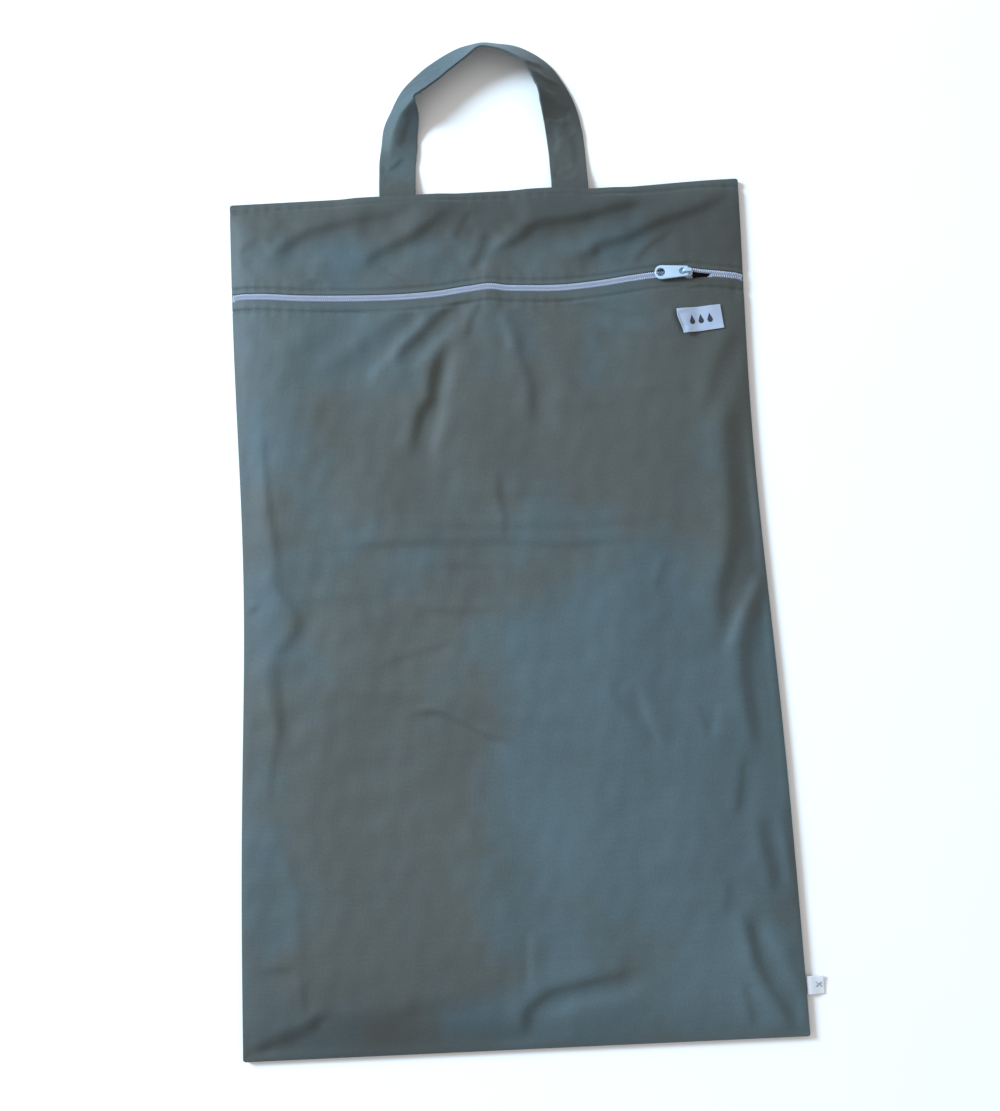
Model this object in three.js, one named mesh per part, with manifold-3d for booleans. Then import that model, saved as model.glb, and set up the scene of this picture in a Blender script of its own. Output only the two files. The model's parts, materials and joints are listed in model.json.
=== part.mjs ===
// Cloth diaper wet bag: a large bag of water-resistant fabric with a zip across its front and a
// flat hanging strap, lying empty on its back. Millimetres, +Z up.
// Origin: the middle of the back panel's underside. +X is right, +Y is towards the strap.

import * as THREE from 'three';
import { mergeVertices } from 'three/addons/utils/BufferGeometryUtils.js';
import Module from 'manifold-3d';

// Bag and fabric
const bagWidth = 400;
const bagHeight = 640;
const fabricThickness = 1.2;
const sideWaist = 6;          // how far each side draws in below the zip
const cornerRadius = 7;
const seamLift = 1.5;         // height of the edge seam's underside above the floor
const seamLiftReach = 26;     // how far in from the edge the back panel still lifts
const puffHeight = 9.5;       // how far the front swells above the seam
const puffReach = 18;
const pieceGap = 0.3;         // clearance between two pieces that touch

// Folds
const foldWidth = 12;
const foldDepth = 2.4;
const foldFade = 0.2;         // share of a fold's length over which it fades at each end
const foldOverrun = 0.12;     // how far it runs on past both ends, as a share of its length
const ridgeDistance = 1.6;    // from a valley's middle to its ridge, as a share of its width

// Zip
const zipDrop = 82.5;         // from the top edge down to the zip
const zipWander = 6;          // how far the zip strays from a straight line
const zipInset = 4;           // from the side seam to the end of the zip
const zipBand = 14;           // half the height of the band that lies flat along the zip
const zipBandBlend = 22;
const zipSag = 0.8;
const storageCreaseHeight = 1.6;
const storageCreaseReach = 9;
const coilWidth = 2.5;
const coilHeight = 1.8;
const coilShoulder = 0.3;     // how far a coil's edges drop below its crown, as a share of its height
const coilSpacing = 0.3;      // between the two closed coils
const tapeWidth = 12;
const tapeThickness = 0.8;
const mouthGap = 3.4;         // widest parting of the coils behind the slider
const mouthUpperShare = 0.4;  // share of the parting that the upper coil makes
const mouthWidest = 0.22;     // where it is widest, as a share of the way to the side seam

// Slider and pull tab
const sliderFromSide = 49.5;  // from the bag's straight side line to the slider's middle
const sliderLength = 11;
const sliderWidth = 7.4;
const sliderNoseWidth = 4.8;
const sliderPlate = 1.1;
const sliderClearance = 0.45;
const postLength = 2.6;
const postWidth = 1.5;
const bridgeWidth = 2;
const bridgeThickness = 1;
const bridgeLegSpacing = 4.8; // clear length between the bridge's legs
const hingeOffset = 1.2;      // from the slider's middle to the hinge
const hingeClearance = 0.35;
const tabLength = 25.5;
const tabWidth = 11;
const tabHingeWidth = 8;
const tabThickness = 1.6;
const tabBarWidth = 1.8;
const tabBigHole = 6.5;
const tabBigHoleInset = 5.4;  // from the free end to the middle of the big hole
const tabSmallHole = 5.2;
const tabBevel = 0.3;
const tabHingeCorner = 1.3;
const tabRestGap = 0.5;       // between the resting free end and the coils

// Hanging strap
const strapWidth = 28.5;
const strapThickness = 1.6;
const strapSpread = 82;       // from the bag's middle line to a leg's outer edge
const strapRise = 126;        // from the top edge to the top of the arch
const strapTuck = 9;          // how far the ends reach into the top seam
const strapLegRows = 2;       // rows of strapSections at each end that run straight up from the seam
const strapSettle = 26;       // length over which a leg comes down to the floor
const strapBulge = 20;

// Labels
const labelWidth = 35;
const labelHeight = 18.4;
const labelThickness = 1;
const labelFromSide = 40.2;   // from the bag's straight side line to the label's middle
const labelBelowZip = 32.9;   // from the zip's straight line to the label's middle
const labelTurn = 7.5;        // degrees, with its right end up
const labelCurl = 3.6;        // how far the free left end lifts
const labelCurlShare = 0.5;   // share of its length that lifts
const labelGap = 0.5;
const careTagLength = 12.5;
const careTagWidth = 12.5;
const careTagThickness = 1;
const careTagRise = 34;       // from the bottom edge up to the tag's middle
const careTagGap = 0.5;
const careTagRoot = 0.1;      // share of its length that stays level at the seam

// Facets
const panelColumns = 34;
const lowerRows = 35;
const upperRows = 9;
const backColumns = 12;
const backRows = 22;
const strapAcross = 4;
const strapStations = 46;
const holeSegments = 8;
const labelColumns = 6;
const labelRows = 3;
const careTagColumns = 4;
const careTagRows = 2;

// How much narrower than the middle ones the facets are at a sheet's edges.
const columnEase = 0.25;
const lowerRowEase = 0.4;
const upperRowEase = 0.3;
const backEase = 0.35;

// The zip's line: across is a share of half the bag's width, rise a share of zipWander.
const zipPath = [
  { across: -1.00, rise: 0.95 },
  { across: -0.92, rise: 0.75 },
  { across: -0.73, rise: 0.03 },
  { across: -0.53, rise: -0.38 },
  { across: -0.34, rise: -0.55 },
  { across: -0.19, rise: -0.37 },
  { across: -0.07, rise: 0.07 },
  { across: 0.01, rise: 0.20 },
  { across: 0.08, rise: -0.08 },
  { across: 0.28, rise: -0.40 },
  { across: 0.43, rise: -0.13 },
  { across: 0.59, rise: 0.45 },
  { across: 0.70, rise: 0.72 },
  { across: 0.80, rise: 0.74 },
  { across: 0.97, rise: 0.35 },
  { across: 1.00, rise: 0.20 },
];

// How the sides draw in: middle and spread are shares of half the bag's height.
const waists = {
  left: { middle: 0.05, spread: 0.50 },
  right: { middle: 0.35, spread: 0.55 },
};

// Folds in the front. The ends are shares of half the width and half the height, bow is a share
// of the fold's length, width and depth are shares of foldWidth and foldDepth (a negative depth
// is a ridge), and lean is the share of the depth that stands up as a ridge on the left side.
const folds = [
  { across: -0.86, up: 0.83, toAcross: -0.50, toUp: 0.94, bow: 0.08, width: 1.0, depth: 1.0, lean: 0.3 },
  { across: -0.50, up: 0.94, toAcross: -0.26, toUp: 0.95, bow: 0.00, width: 0.9, depth: 0.7, lean: 0.2 },
  { across: -0.46, up: 0.84, toAcross: -0.09, toUp: 0.95, bow: -0.03, width: 0.8, depth: 0.9, lean: 0.2 },
  { across: 0.03, up: 0.82, toAcross: 0.44, toUp: 0.93, bow: 0.04, width: 0.9, depth: 1.3, lean: 0.4 },
  { across: 0.42, up: 0.93, toAcross: 0.68, toUp: 0.94, bow: 0.00, width: 0.8, depth: 0.8, lean: 0.2 },
  { across: 0.31, up: 0.80, toAcross: 0.97, toUp: 0.96, bow: 0.00, width: 0.9, depth: 1.3, lean: 0.4 },
  { across: 0.00, up: 0.72, toAcross: -0.64, toUp: 0.53, bow: -0.10, width: 1.2, depth: 0.8, lean: 0.2 },
  { across: -0.16, up: 0.63, toAcross: -0.28, toUp: 0.39, bow: 0.00, width: 0.9, depth: 1.3, lean: 0.6 },
  { across: 0.08, up: 0.65, toAcross: 0.15, toUp: 0.38, bow: 0.00, width: 0.8, depth: 0.8, lean: 0.2 },
  { across: 0.21, up: 0.70, toAcross: 0.74, toUp: 0.65, bow: 0.00, width: 0.9, depth: 1.0, lean: 0.3 },
  { across: 0.97, up: 0.62, toAcross: 0.77, toUp: 0.41, bow: 0.05, width: 1.0, depth: 1.0, lean: 0.2 },
  { across: 0.91, up: 0.47, toAcross: 0.78, toUp: -0.13, bow: 0.03, width: 1.1, depth: 1.2, lean: 0.4 },
  { across: 0.93, up: -0.03, toAcross: 0.84, toUp: -0.44, bow: -0.03, width: 0.9, depth: 1.0, lean: 0.3 },
  { across: -0.67, up: -0.20, toAcross: 0.81, toUp: -0.43, bow: 0.03, width: 1.0, depth: 1.0, lean: -0.5 },
  { across: -0.77, up: -0.05, toAcross: -0.90, toUp: -0.35, bow: 0.00, width: 1.0, depth: -0.6, lean: 0.0 },
  { across: 0.47, up: -0.24, toAcross: 0.53, toUp: -0.36, bow: 0.00, width: 0.9, depth: -0.5, lean: 0.0 },
  { across: 0.78, up: -0.76, toAcross: 0.94, toUp: -0.97, bow: 0.00, width: 0.9, depth: 1.2, lean: 0.6 },
  { across: -0.02, up: -0.96, toAcross: 0.38, toUp: -0.84, bow: 0.06, width: 0.9, depth: 0.9, lean: -0.5 },
  { across: -0.94, up: -0.96, toAcross: -0.38, toUp: -0.92, bow: 0.06, width: 1.0, depth: 1.0, lean: 0.2 },
];

// The strap, section by section from its left end to its right end. across and up place the outer
// edge, as shares of strapSpread and strapRise. lean is the angle at which the strap rises inwards
// from that edge, up to a crease at the share ridge of its width, and past is its angle beyond
// the crease. sweep turns the section from square to the edge towards the strap's right end.
const strapSections = [
  { across: -1.000, up: 0.024, lean: 0, ridge: 0.45, past: 0, sweep: 0 },
  { across: -0.997, up: 0.130, lean: 0, ridge: 0.45, past: 0, sweep: 0 },
  { across: -0.988, up: 0.240, lean: 0, ridge: 0.45, past: 2, sweep: 0 },
  { across: -0.957, up: 0.350, lean: 9, ridge: 0.45, past: 18, sweep: -3 },
  { across: -0.927, up: 0.445, lean: 27, ridge: 0.60, past: 22, sweep: 0 },
  { across: -0.896, up: 0.508, lean: 39, ridge: 0.77, past: 26, sweep: 19 },
  { across: -0.860, up: 0.560, lean: 42, ridge: 1.00, past: 16, sweep: 36 },
  { across: -0.793, up: 0.643, lean: 44, ridge: 1.00, past: 16, sweep: 21 },
  { across: -0.707, up: 0.726, lean: 43, ridge: 1.00, past: 16, sweep: 7 },
  { across: -0.573, up: 0.813, lean: 40, ridge: 1.00, past: 16, sweep: 1 },
  { across: -0.400, up: 0.895, lean: 41, ridge: 1.00, past: 16, sweep: -4 },
  { across: -0.200, up: 0.965, lean: 45, ridge: 1.00, past: 16, sweep: -4 },
  { across: 0.010, up: 0.999, lean: 50, ridge: 1.00, past: 16, sweep: 0 },
  { across: 0.200, up: 0.990, lean: 51, ridge: 1.00, past: 16, sweep: 0 },
  { across: 0.390, up: 0.958, lean: 50, ridge: 1.00, past: 16, sweep: 0 },
  { across: 0.555, up: 0.901, lean: 46, ridge: 1.00, past: 16, sweep: 0 },
  { across: 0.690, up: 0.818, lean: 41, ridge: 1.00, past: 16, sweep: 0 },
  { across: 0.790, up: 0.722, lean: 35, ridge: 1.00, past: 16, sweep: 0 },
  { across: 0.868, up: 0.624, lean: 24, ridge: 1.00, past: 16, sweep: 0 },
  { across: 0.925, up: 0.525, lean: 13, ridge: 1.00, past: 12, sweep: 0 },
  { across: 0.962, up: 0.416, lean: 4, ridge: 1.00, past: 6, sweep: 0 },
  { across: 0.982, up: 0.300, lean: 0, ridge: 1.00, past: 0, sweep: 0 },
  { across: 0.990, up: 0.170, lean: 0, ridge: 1.00, past: 0, sweep: 0 },
  { across: 0.994, up: 0.024, lean: 0, ridge: 1.00, past: 0, sweep: 0 },
];

const { clamp, degToRad, lerp, smoothstep } = THREE.MathUtils;

// Tables

// The row that a value falls on, with a fraction between rows.
function placeInTable(rows, column, value) {
  let row = 0;
  while (row < rows.length - 2 && value > rows[row + 1][column]) {
    row += 1;
  }
  const span = rows[row + 1][column] - rows[row][column];
  return row + clamp((value - rows[row][column]) / span, 0, 1);
}

// One column of a table at a fractional row, on a smooth curve through the rows.
function columnAt(rows, column, place) {
  const row = clamp(Math.floor(place), 0, rows.length - 2);
  const value = (k) => rows[clamp(k, 0, rows.length - 1)][column];
  const t = place - row;
  const slopeStart = (value(row + 1) - value(row - 1)) / 2;
  const slopeEnd = (value(row + 2) - value(row)) / 2;
  const blend = t * t * (3 - 2 * t);
  return lerp(value(row), value(row + 1), blend)
    + slopeStart * t * (1 - t) * (1 - t)
    - slopeEnd * t * t * (1 - t);
}

// Bag outline

function waistAt(waist, up) {
  return sideWaist * Math.exp(-(((up - waist.middle) / waist.spread) ** 2));
}

function cornerInset(y) {
  const toCorner = Math.max(cornerRadius - (bagHeight / 2 - Math.abs(y)), 0);
  return cornerRadius - Math.sqrt(cornerRadius ** 2 - Math.min(toCorner, cornerRadius) ** 2);
}

function leftEdge(y) {
  return -bagWidth / 2 + waistAt(waists.left, y / (bagHeight / 2)) + cornerInset(y);
}

function rightEdge(y) {
  return bagWidth / 2 - waistAt(waists.right, y / (bagHeight / 2)) - cornerInset(y);
}

// A share of a sheet, 0 to 1, with narrower steps near both edges.
function easedShare(share, ease) {
  return share - ease * Math.sin(2 * Math.PI * share) / (2 * Math.PI);
}

function acrossBag(share, y) {
  return lerp(leftEdge(y), rightEdge(y), share);
}

// Front surface

const seamTop = seamLift + 2 * fabricThickness + pieceGap;

function swell(distance) {
  return 1 - Math.exp(-Math.max(distance, 0) / puffReach);
}

function swollenHeight(x, y) {
  const toSide = Math.min(x - leftEdge(y), rightEdge(y) - x);
  const toEnd = bagHeight / 2 - Math.abs(y);
  return seamTop + puffHeight * swell(toSide) * swell(toEnd);
}

// The height that one fold takes away at a point, less the ridge beside it.
function foldAt(fold, x, y) {
  const start = new THREE.Vector2(fold.across * bagWidth / 2, fold.up * bagHeight / 2);
  const end = new THREE.Vector2(fold.toAcross * bagWidth / 2, fold.toUp * bagHeight / 2);
  const along = end.sub(start);
  const length = along.length();
  along.divideScalar(length);
  const fromStart = new THREE.Vector2(x, y).sub(start);
  const share = fromStart.dot(along) / length;
  const risen = smoothstep(share, -foldOverrun, foldFade);
  const fallen = smoothstep(share, 1 - foldFade, 1 + foldOverrun);
  const fade = risen * (1 - fallen);
  if (fade === 0) {
    return 0;
  }
  const bowed = fold.bow * length * 4 * share * (1 - share);
  const beside = along.cross(fromStart) - bowed;
  const width = fold.width * foldWidth;
  const valley = Math.exp(-((beside / width) ** 2));
  const besideRidge = beside - Math.sign(fold.lean) * ridgeDistance * width;
  const ridge = Math.abs(fold.lean) * Math.exp(-((besideRidge / width) ** 2));
  return fold.depth * foldDepth * fade * (valley - ridge);
}

function foldedHeight(x, y) {
  const toEdge = Math.min(x - leftEdge(y), rightEdge(y) - x, bagHeight / 2 - Math.abs(y));
  const lost = folds.reduce((sum, fold) => sum + foldAt(fold, x, y), 0);
  return swollenHeight(x, y) - lost * smoothstep(toEdge, 0, foldWidth);
}

// The zip's line and the height of the flat band along it are straight between the panel columns,
// so that every piece along the zip keeps its clearance whatever its own steps are.
const columnShares = Array.from(
  { length: panelColumns + 1 },
  (_, i) => easedShare(i / panelColumns, columnEase),
);
const zipMiddle = bagHeight / 2 - zipDrop;

const zipKnots = columnShares.map((share) => {
  const place = placeInTable(zipPath, 'across', 2 * share - 1);
  const y = zipMiddle + zipWander * columnAt(zipPath, 'rise', place);
  const x = acrossBag(share, y);
  const crease = storageCreaseHeight * Math.exp(-((x / storageCreaseReach) ** 2));
  const sag = zipSag * swell(x - leftEdge(y)) * swell(rightEdge(y) - x);
  return { share, x, y, height: swollenHeight(x, y) - sag + crease };
});

function zipAt(share) {
  const place = placeInTable(zipKnots, 'share', share);
  const knot = Math.min(Math.floor(place), zipKnots.length - 2);
  const t = place - knot;
  return {
    x: lerp(zipKnots[knot].x, zipKnots[knot + 1].x, t),
    y: lerp(zipKnots[knot].y, zipKnots[knot + 1].y, t),
    height: lerp(zipKnots[knot].height, zipKnots[knot + 1].height, t),
  };
}

function shareAtX(x) {
  const place = placeInTable(zipKnots, 'x', x);
  const knot = Math.min(Math.floor(place), zipKnots.length - 2);
  return lerp(zipKnots[knot].share, zipKnots[knot + 1].share, place - knot);
}

// The front rises over the strap ends that are caught in the top seam, from a facet's width away.
function tuckedStrapRise(x, y) {
  const legMiddle = strapSpread - strapWidth / 2;
  const facet = (1 + columnEase) * bagWidth / panelColumns;
  const fromLeg = Math.abs(Math.abs(x) - legMiddle) - strapWidth / 2 - facet;
  const fromTop = bagHeight / 2 - y - strapTuck - facet;
  const rise = strapThickness + pieceGap;
  return rise * (1 - smoothstep(fromLeg, 0, strapBulge)) * (1 - smoothstep(fromTop, 0, strapBulge));
}

function frontHeight(x, y, share) {
  const zip = zipAt(share);
  const free = smoothstep(Math.abs(y - zip.y), zipBand, zipBand + zipBandBlend);
  return lerp(zip.height, foldedHeight(x, y), free) + tuckedStrapRise(x, y);
}

// The coils part inside the slider, are widest apart close to it, and meet again at the side seam.
const sliderX = bagWidth / 2 - sliderFromSide;
const mouthStart = shareAtX(sliderX - sliderLength / 4);

function mouthAt(share) {
  const t = Math.max(share - mouthStart, 0) / (1 - mouthStart) / mouthWidest;
  return mouthGap * t * Math.exp(1 - t);
}

// Half the distance from the zip's line to the near side of a coil. side is 1 above, -1 below.
function coilOffset(share, side) {
  const parted = side > 0 ? mouthUpperShare : 1 - mouthUpperShare;
  return coilSpacing / 2 + parted * mouthAt(share);
}

// A panel's edge at one of its columns clears the coil there and halfway to the next columns.
function panelEdgeOffset(share, side) {
  const column = Math.round(placeInTable(zipKnots, 'share', share));
  const before = columnShares[Math.max(column - 1, 0)];
  const after = columnShares[Math.min(column + 1, panelColumns)];
  const nearby = [(before + share) / 2, share, (share + after) / 2];
  return Math.max(...nearby.map((at) => coilOffset(at, side))) + coilWidth + pieceGap;
}

// A closed sheet: a finely divided box whose two faces are laid over the piece's own surfaces.
// place(across, along, outer) returns the point for shares across and along the sheet.
function sheetGeometry(columns, rows, place) {
  const geometry = new THREE.BoxGeometry(1, 1, 1, columns, rows, 1);
  geometry.deleteAttribute('normal');
  geometry.deleteAttribute('uv');
  const merged = mergeVertices(geometry);
  const position = merged.getAttribute('position');
  for (let i = 0; i < position.count; i += 1) {
    const point = place(position.getX(i) + 0.5, position.getY(i) + 0.5, position.getZ(i) > 0);
    position.setXYZ(i, point.x, point.y, point.z);
  }
  merged.computeVertexNormals();
  return merged;
}

// Panels

function backPoint(across, along, outer) {
  const y = lerp(-bagHeight / 2, bagHeight / 2, easedShare(along, backEase));
  const x = acrossBag(easedShare(across, backEase), y);
  const toEdge = Math.min(x - leftEdge(y), rightEdge(y) - x, bagHeight / 2 - Math.abs(y));
  const lift = seamLift * (Math.max(1 - toEdge / seamLiftReach, 0) ** 2);
  return new THREE.Vector3(x, y, lift + (outer ? fabricThickness : 0));
}

function frontPoint(across, y, outer) {
  const x = acrossBag(across, y);
  const height = frontHeight(x, y, across);
  return new THREE.Vector3(x, y, outer ? height : height - fabricThickness);
}

function lowerPanelPoint(across, along, outer) {
  const share = easedShare(across, columnEase);
  const edge = zipAt(share).y - panelEdgeOffset(share, -1);
  return frontPoint(share, lerp(-bagHeight / 2, edge, easedShare(along, lowerRowEase)), outer);
}

function upperPanelPoint(across, along, outer) {
  const share = easedShare(across, columnEase);
  const edge = zipAt(share).y + panelEdgeOffset(share, 1);
  return frontPoint(share, lerp(edge, bagHeight / 2, easedShare(along, upperRowEase)), outer);
}

// Zip. A coil and its tape end short of the side seams and have a step at each panel column and
// one between.
const zipFirst = shareAtX(zipKnots[0].x + zipInset);
const zipLast = shareAtX(zipKnots.at(-1).x - zipInset);
const betweenColumns = columnShares.slice(1).map((share, i) => (share + columnShares[i]) / 2);
const zipShares = [zipFirst, ...columnShares, ...betweenColumns, zipLast]
  .filter((share) => share >= zipFirst && share <= zipLast)
  .sort((a, b) => a - b);

function zipPiecePoint(across, offset, height) {
  const share = zipShares[Math.round(across * (zipShares.length - 1))];
  const zip = zipAt(share);
  return new THREE.Vector3(zip.x, zip.y + offset(share), zip.height + height);
}

function tapeGeometry(side) {
  const top = -fabricThickness - pieceGap;
  return sheetGeometry(zipShares.length - 1, 1, (across, along, outer) => {
    const reach = side > 0 ? along : 1 - along;
    const offset = (share) => side * (coilOffset(share, side) + reach * tapeWidth);
    return zipPiecePoint(across, offset, outer ? top : top - tapeThickness);
  });
}

function coilGeometry(side) {
  const bottom = -fabricThickness;
  return sheetGeometry(zipShares.length - 1, 2, (across, along, outer) => {
    const reach = side > 0 ? along : 1 - along;
    const offset = (share) => side * (coilOffset(share, side) + reach * coilWidth);
    const onCrown = along > 0 && along < 1;
    const inset = onCrown ? 0 : coilShoulder * coilHeight;
    return zipPiecePoint(across, offset, outer ? bottom + coilHeight - inset : bottom + inset / 2);
  });
}

// Booleans

const manifold = await Module();
manifold.setup();

function toSolid(geometry) {
  const bare = geometry.index ? geometry.toNonIndexed() : geometry.clone();
  bare.deleteAttribute('normal');
  bare.deleteAttribute('uv');
  const merged = mergeVertices(bare, 1e-4);
  return new manifold.Manifold(new manifold.Mesh({
    numProp: 3,
    vertProperties: new Float32Array(merged.getAttribute('position').array),
    triVerts: new Uint32Array(merged.index.array),
  }));
}

function fromSolid(solid) {
  const mesh = solid.getMesh();
  const geometry = new THREE.BufferGeometry();
  const position = new THREE.BufferAttribute(new Float32Array(mesh.vertProperties), 3);
  geometry.setAttribute('position', position);
  geometry.setIndex(new THREE.BufferAttribute(new Uint32Array(mesh.triVerts), 1));
  geometry.computeVertexNormals();
  return geometry;
}

// Slider, in its own frame: x along the zip, z up from the fabric's face beside the coils.

const coilTop = coilHeight - fabricThickness;
const tapeBottom = -fabricThickness - pieceGap - tapeThickness;
const upperPlateBottom = coilTop + sliderClearance;
const upperPlateTop = upperPlateBottom + sliderPlate;
const lowerPlateTop = tapeBottom - sliderClearance;
const hingeHeight = upperPlateTop + Math.hypot(tabBarWidth, tabThickness) / 2 + hingeClearance;

function platePlan() {
  const half = sliderLength / 2;
  const plan = new THREE.Shape();
  plan.moveTo(-half, -sliderNoseWidth / 2);
  plan.quadraticCurveTo(-half, -sliderWidth / 2, -half / 2, -sliderWidth / 2);
  plan.lineTo(half / 4, -sliderWidth / 2);
  plan.quadraticCurveTo(half, -sliderWidth / 2, half, -sliderNoseWidth / 4);
  plan.lineTo(half, sliderNoseWidth / 4);
  plan.quadraticCurveTo(half, sliderWidth / 2, half / 4, sliderWidth / 2);
  plan.lineTo(-half / 2, sliderWidth / 2);
  plan.quadraticCurveTo(-half, sliderWidth / 2, -half, sliderNoseWidth / 2);
  plan.closePath();
  return plan;
}

function plateGeometry(bottom) {
  const options = { depth: sliderPlate, bevelEnabled: false, curveSegments: 5 };
  return new THREE.ExtrudeGeometry(platePlan(), options).translate(0, 0, bottom);
}

function postGeometry() {
  const height = upperPlateBottom - lowerPlateTop + sliderPlate;
  const post = new THREE.BoxGeometry(postLength, postWidth, height);
  const x = sliderLength / 2 - postLength / 2 - bridgeThickness / 2;
  return post.translate(x, 0, (upperPlateBottom + lowerPlateTop) / 2);
}

function bridgeGeometry() {
  const inner = bridgeLegSpacing / 2;
  const outer = inner + bridgeThickness;
  const clearTop = 2 * (hingeHeight - upperPlateTop);
  const top = clearTop + bridgeThickness;
  const root = -sliderPlate / 2;
  const profile = new THREE.Shape();
  profile.moveTo(-outer, root);
  profile.lineTo(-outer, clearTop);
  profile.quadraticCurveTo(-outer, top, -inner, top);
  profile.lineTo(inner, top);
  profile.quadraticCurveTo(outer, top, outer, clearTop);
  profile.lineTo(outer, root);
  profile.lineTo(inner, root);
  profile.lineTo(inner, clearTop);
  profile.lineTo(-inner, clearTop);
  profile.lineTo(-inner, root);
  profile.closePath();
  const options = { depth: bridgeWidth, bevelEnabled: false, curveSegments: 4 };
  const bridge = new THREE.ExtrudeGeometry(profile, options).translate(0, 0, -bridgeWidth / 2);
  return bridge.rotateX(Math.PI / 2).translate(hingeOffset, 0, upperPlateTop);
}

function sliderGeometry() {
  const pieces = [
    plateGeometry(upperPlateBottom),
    plateGeometry(lowerPlateTop - sliderPlate),
    postGeometry(),
    bridgeGeometry(),
  ];
  return fromSolid(pieces.map(toSolid).reduce((joined, piece) => joined.add(piece)));
}

// Pull tab, in the hinge's frame: it lies towards -x, and its bar is on the hinge.
function tabGeometry() {
  const far = -tabLength + tabBarWidth / 2;
  const near = tabBarWidth / 2 - tabBevel;
  const tip = far + tabBevel;
  const farHalf = tabWidth / 2 - tabBevel;
  const nearHalf = tabHingeWidth / 2 - tabBevel;
  const plan = new THREE.Shape();
  plan.moveTo(near, tabHingeCorner - nearHalf);
  plan.lineTo(near, nearHalf - tabHingeCorner);
  plan.quadraticCurveTo(near, nearHalf, near - tabHingeCorner, nearHalf);
  plan.lineTo(far + farHalf, farHalf);
  plan.quadraticCurveTo(tip, farHalf, tip, 0);
  plan.quadraticCurveTo(tip, -farHalf, far + farHalf, -farHalf);
  plan.lineTo(near - tabHingeCorner, -nearHalf);
  plan.quadraticCurveTo(near, -nearHalf, near, tabHingeCorner - nearHalf);
  const hole = (x, diameter) => {
    return new THREE.Path().absarc(x, 0, diameter / 2 + tabBevel, 0, 2 * Math.PI, true);
  };
  plan.holes.push(hole(far + tabBigHoleInset, tabBigHole));
  plan.holes.push(hole(-tabBarWidth / 2 - tabSmallHole / 2, tabSmallHole));
  const options = {
    depth: tabThickness - 2 * tabBevel,
    bevelThickness: tabBevel,
    bevelSize: tabBevel,
    bevelSegments: 1,
    curveSegments: holeSegments,
  };
  return new THREE.ExtrudeGeometry(plan, options).translate(0, 0, -tabThickness / 2 + tabBevel);
}

// Strap

function strapEdge(place) {
  const x = strapSpread * columnAt(strapSections, 'across', place);
  const y = bagHeight / 2 + strapRise * columnAt(strapSections, 'up', place);
  return new THREE.Vector2(x, y);
}

// One angle of a strap section, in radians. The smooth curve through the rows may not dip below 0.
function strapAngle(column, place) {
  return degToRad(Math.max(columnAt(strapSections, column, place), 0));
}

// The way that the strap runs at a place: straight out of the seam on its legs, then along its edge.
function strapHeading(place) {
  const lastRow = strapSections.length - 1;
  if (place < strapLegRows) {
    return new THREE.Vector2(0, 1);
  }
  if (place > lastRow - strapLegRows) {
    return new THREE.Vector2(0, -1);
  }
  const step = 0.05;
  const heading = strapEdge(place + step).sub(strapEdge(place - step)).normalize();
  return heading.rotateAround(new THREE.Vector2(), degToRad(columnAt(strapSections, 'sweep', place)));
}

function strapPoint(across, along, outer) {
  const lastRow = strapSections.length - 1;
  const station = Math.round(along * strapStations);
  const inSeam = station === 0 || station === strapStations;
  const place = lastRow * clamp((station - 1) / (strapStations - 2), 0, 1);
  const edge = strapEdge(place);
  const heading = strapHeading(place);
  if (inSeam) {
    edge.y = bagHeight / 2 - strapTuck;
  }
  const inward = new THREE.Vector3(heading.y, -heading.x, 0);
  const up = new THREE.Vector3(0, 0, 1);
  const lean = strapAngle('lean', place);
  const past = strapAngle('past', place);
  const ridge = Math.min(columnAt(strapSections, 'ridge', place), 1);
  const beforeRidge = Math.min(across, ridge) * strapWidth;
  const afterRidge = Math.max(across - ridge, 0) * strapWidth;
  const fromSeam = Math.max(edge.y - bagHeight / 2, 0);
  const seamHeight = seamLift + fabricThickness + pieceGap;
  const base = seamHeight * (1 - smoothstep(fromSeam, 0, strapSettle));
  const point = new THREE.Vector3(edge.x, edge.y, base);
  point.addScaledVector(inward, beforeRidge * Math.cos(lean) + afterRidge * Math.cos(past));
  point.addScaledVector(up, beforeRidge * Math.sin(lean) + afterRidge * Math.sin(past));
  if (outer) {
    const slope = across <= ridge ? lean : past;
    point.addScaledVector(inward, -strapThickness * Math.sin(slope));
    point.addScaledVector(up, strapThickness * Math.cos(slope));
  }
  return point;
}

// Labels

// The woven label is flat on the fabric at its right and curls up at its free left end.
function labelPoint(across, along, outer) {
  const middle = new THREE.Vector2(bagWidth / 2 - labelFromSide, zipMiddle - labelBelowZip);
  const { x, y } = new THREE.Vector2((across - 0.5) * labelWidth, (along - 0.5) * labelHeight)
    .add(middle)
    .rotateAround(middle, degToRad(labelTurn));
  const share = (x - leftEdge(y)) / (rightEdge(y) - leftEdge(y));
  const curl = labelCurl * (1 - smoothstep(across, 0, labelCurlShare));
  const rest = frontHeight(x, y, share) + labelGap + curl;
  return new THREE.Vector3(x, y, outer ? rest + labelThickness : rest);
}

// The care tag leaves the right side seam and droops to the floor.
function careTagPoint(across, along, outer) {
  const middle = careTagRise - bagHeight / 2;
  const y = middle + (along - 0.5) * careTagWidth;
  const x = rightEdge(middle) + careTagGap + across * careTagLength;
  const droop = (seamLift + fabricThickness / 2) * (1 - smoothstep(across, careTagRoot, 1));
  return new THREE.Vector3(x, y, outer ? droop + careTagThickness : droop);
}

// Materials

function material(color, roughness, metalness = 0) {
  return new THREE.MeshStandardMaterial({ color, roughness, metalness });
}

const fabric = () => material('#58656b', 0.62);
const zipWhite = () => material('#b9c6dc', 0.5);
const enamel = () => material('#cfe0ee', 0.3);
const satin = () => material('#b4c4dc', 0.45);

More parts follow.
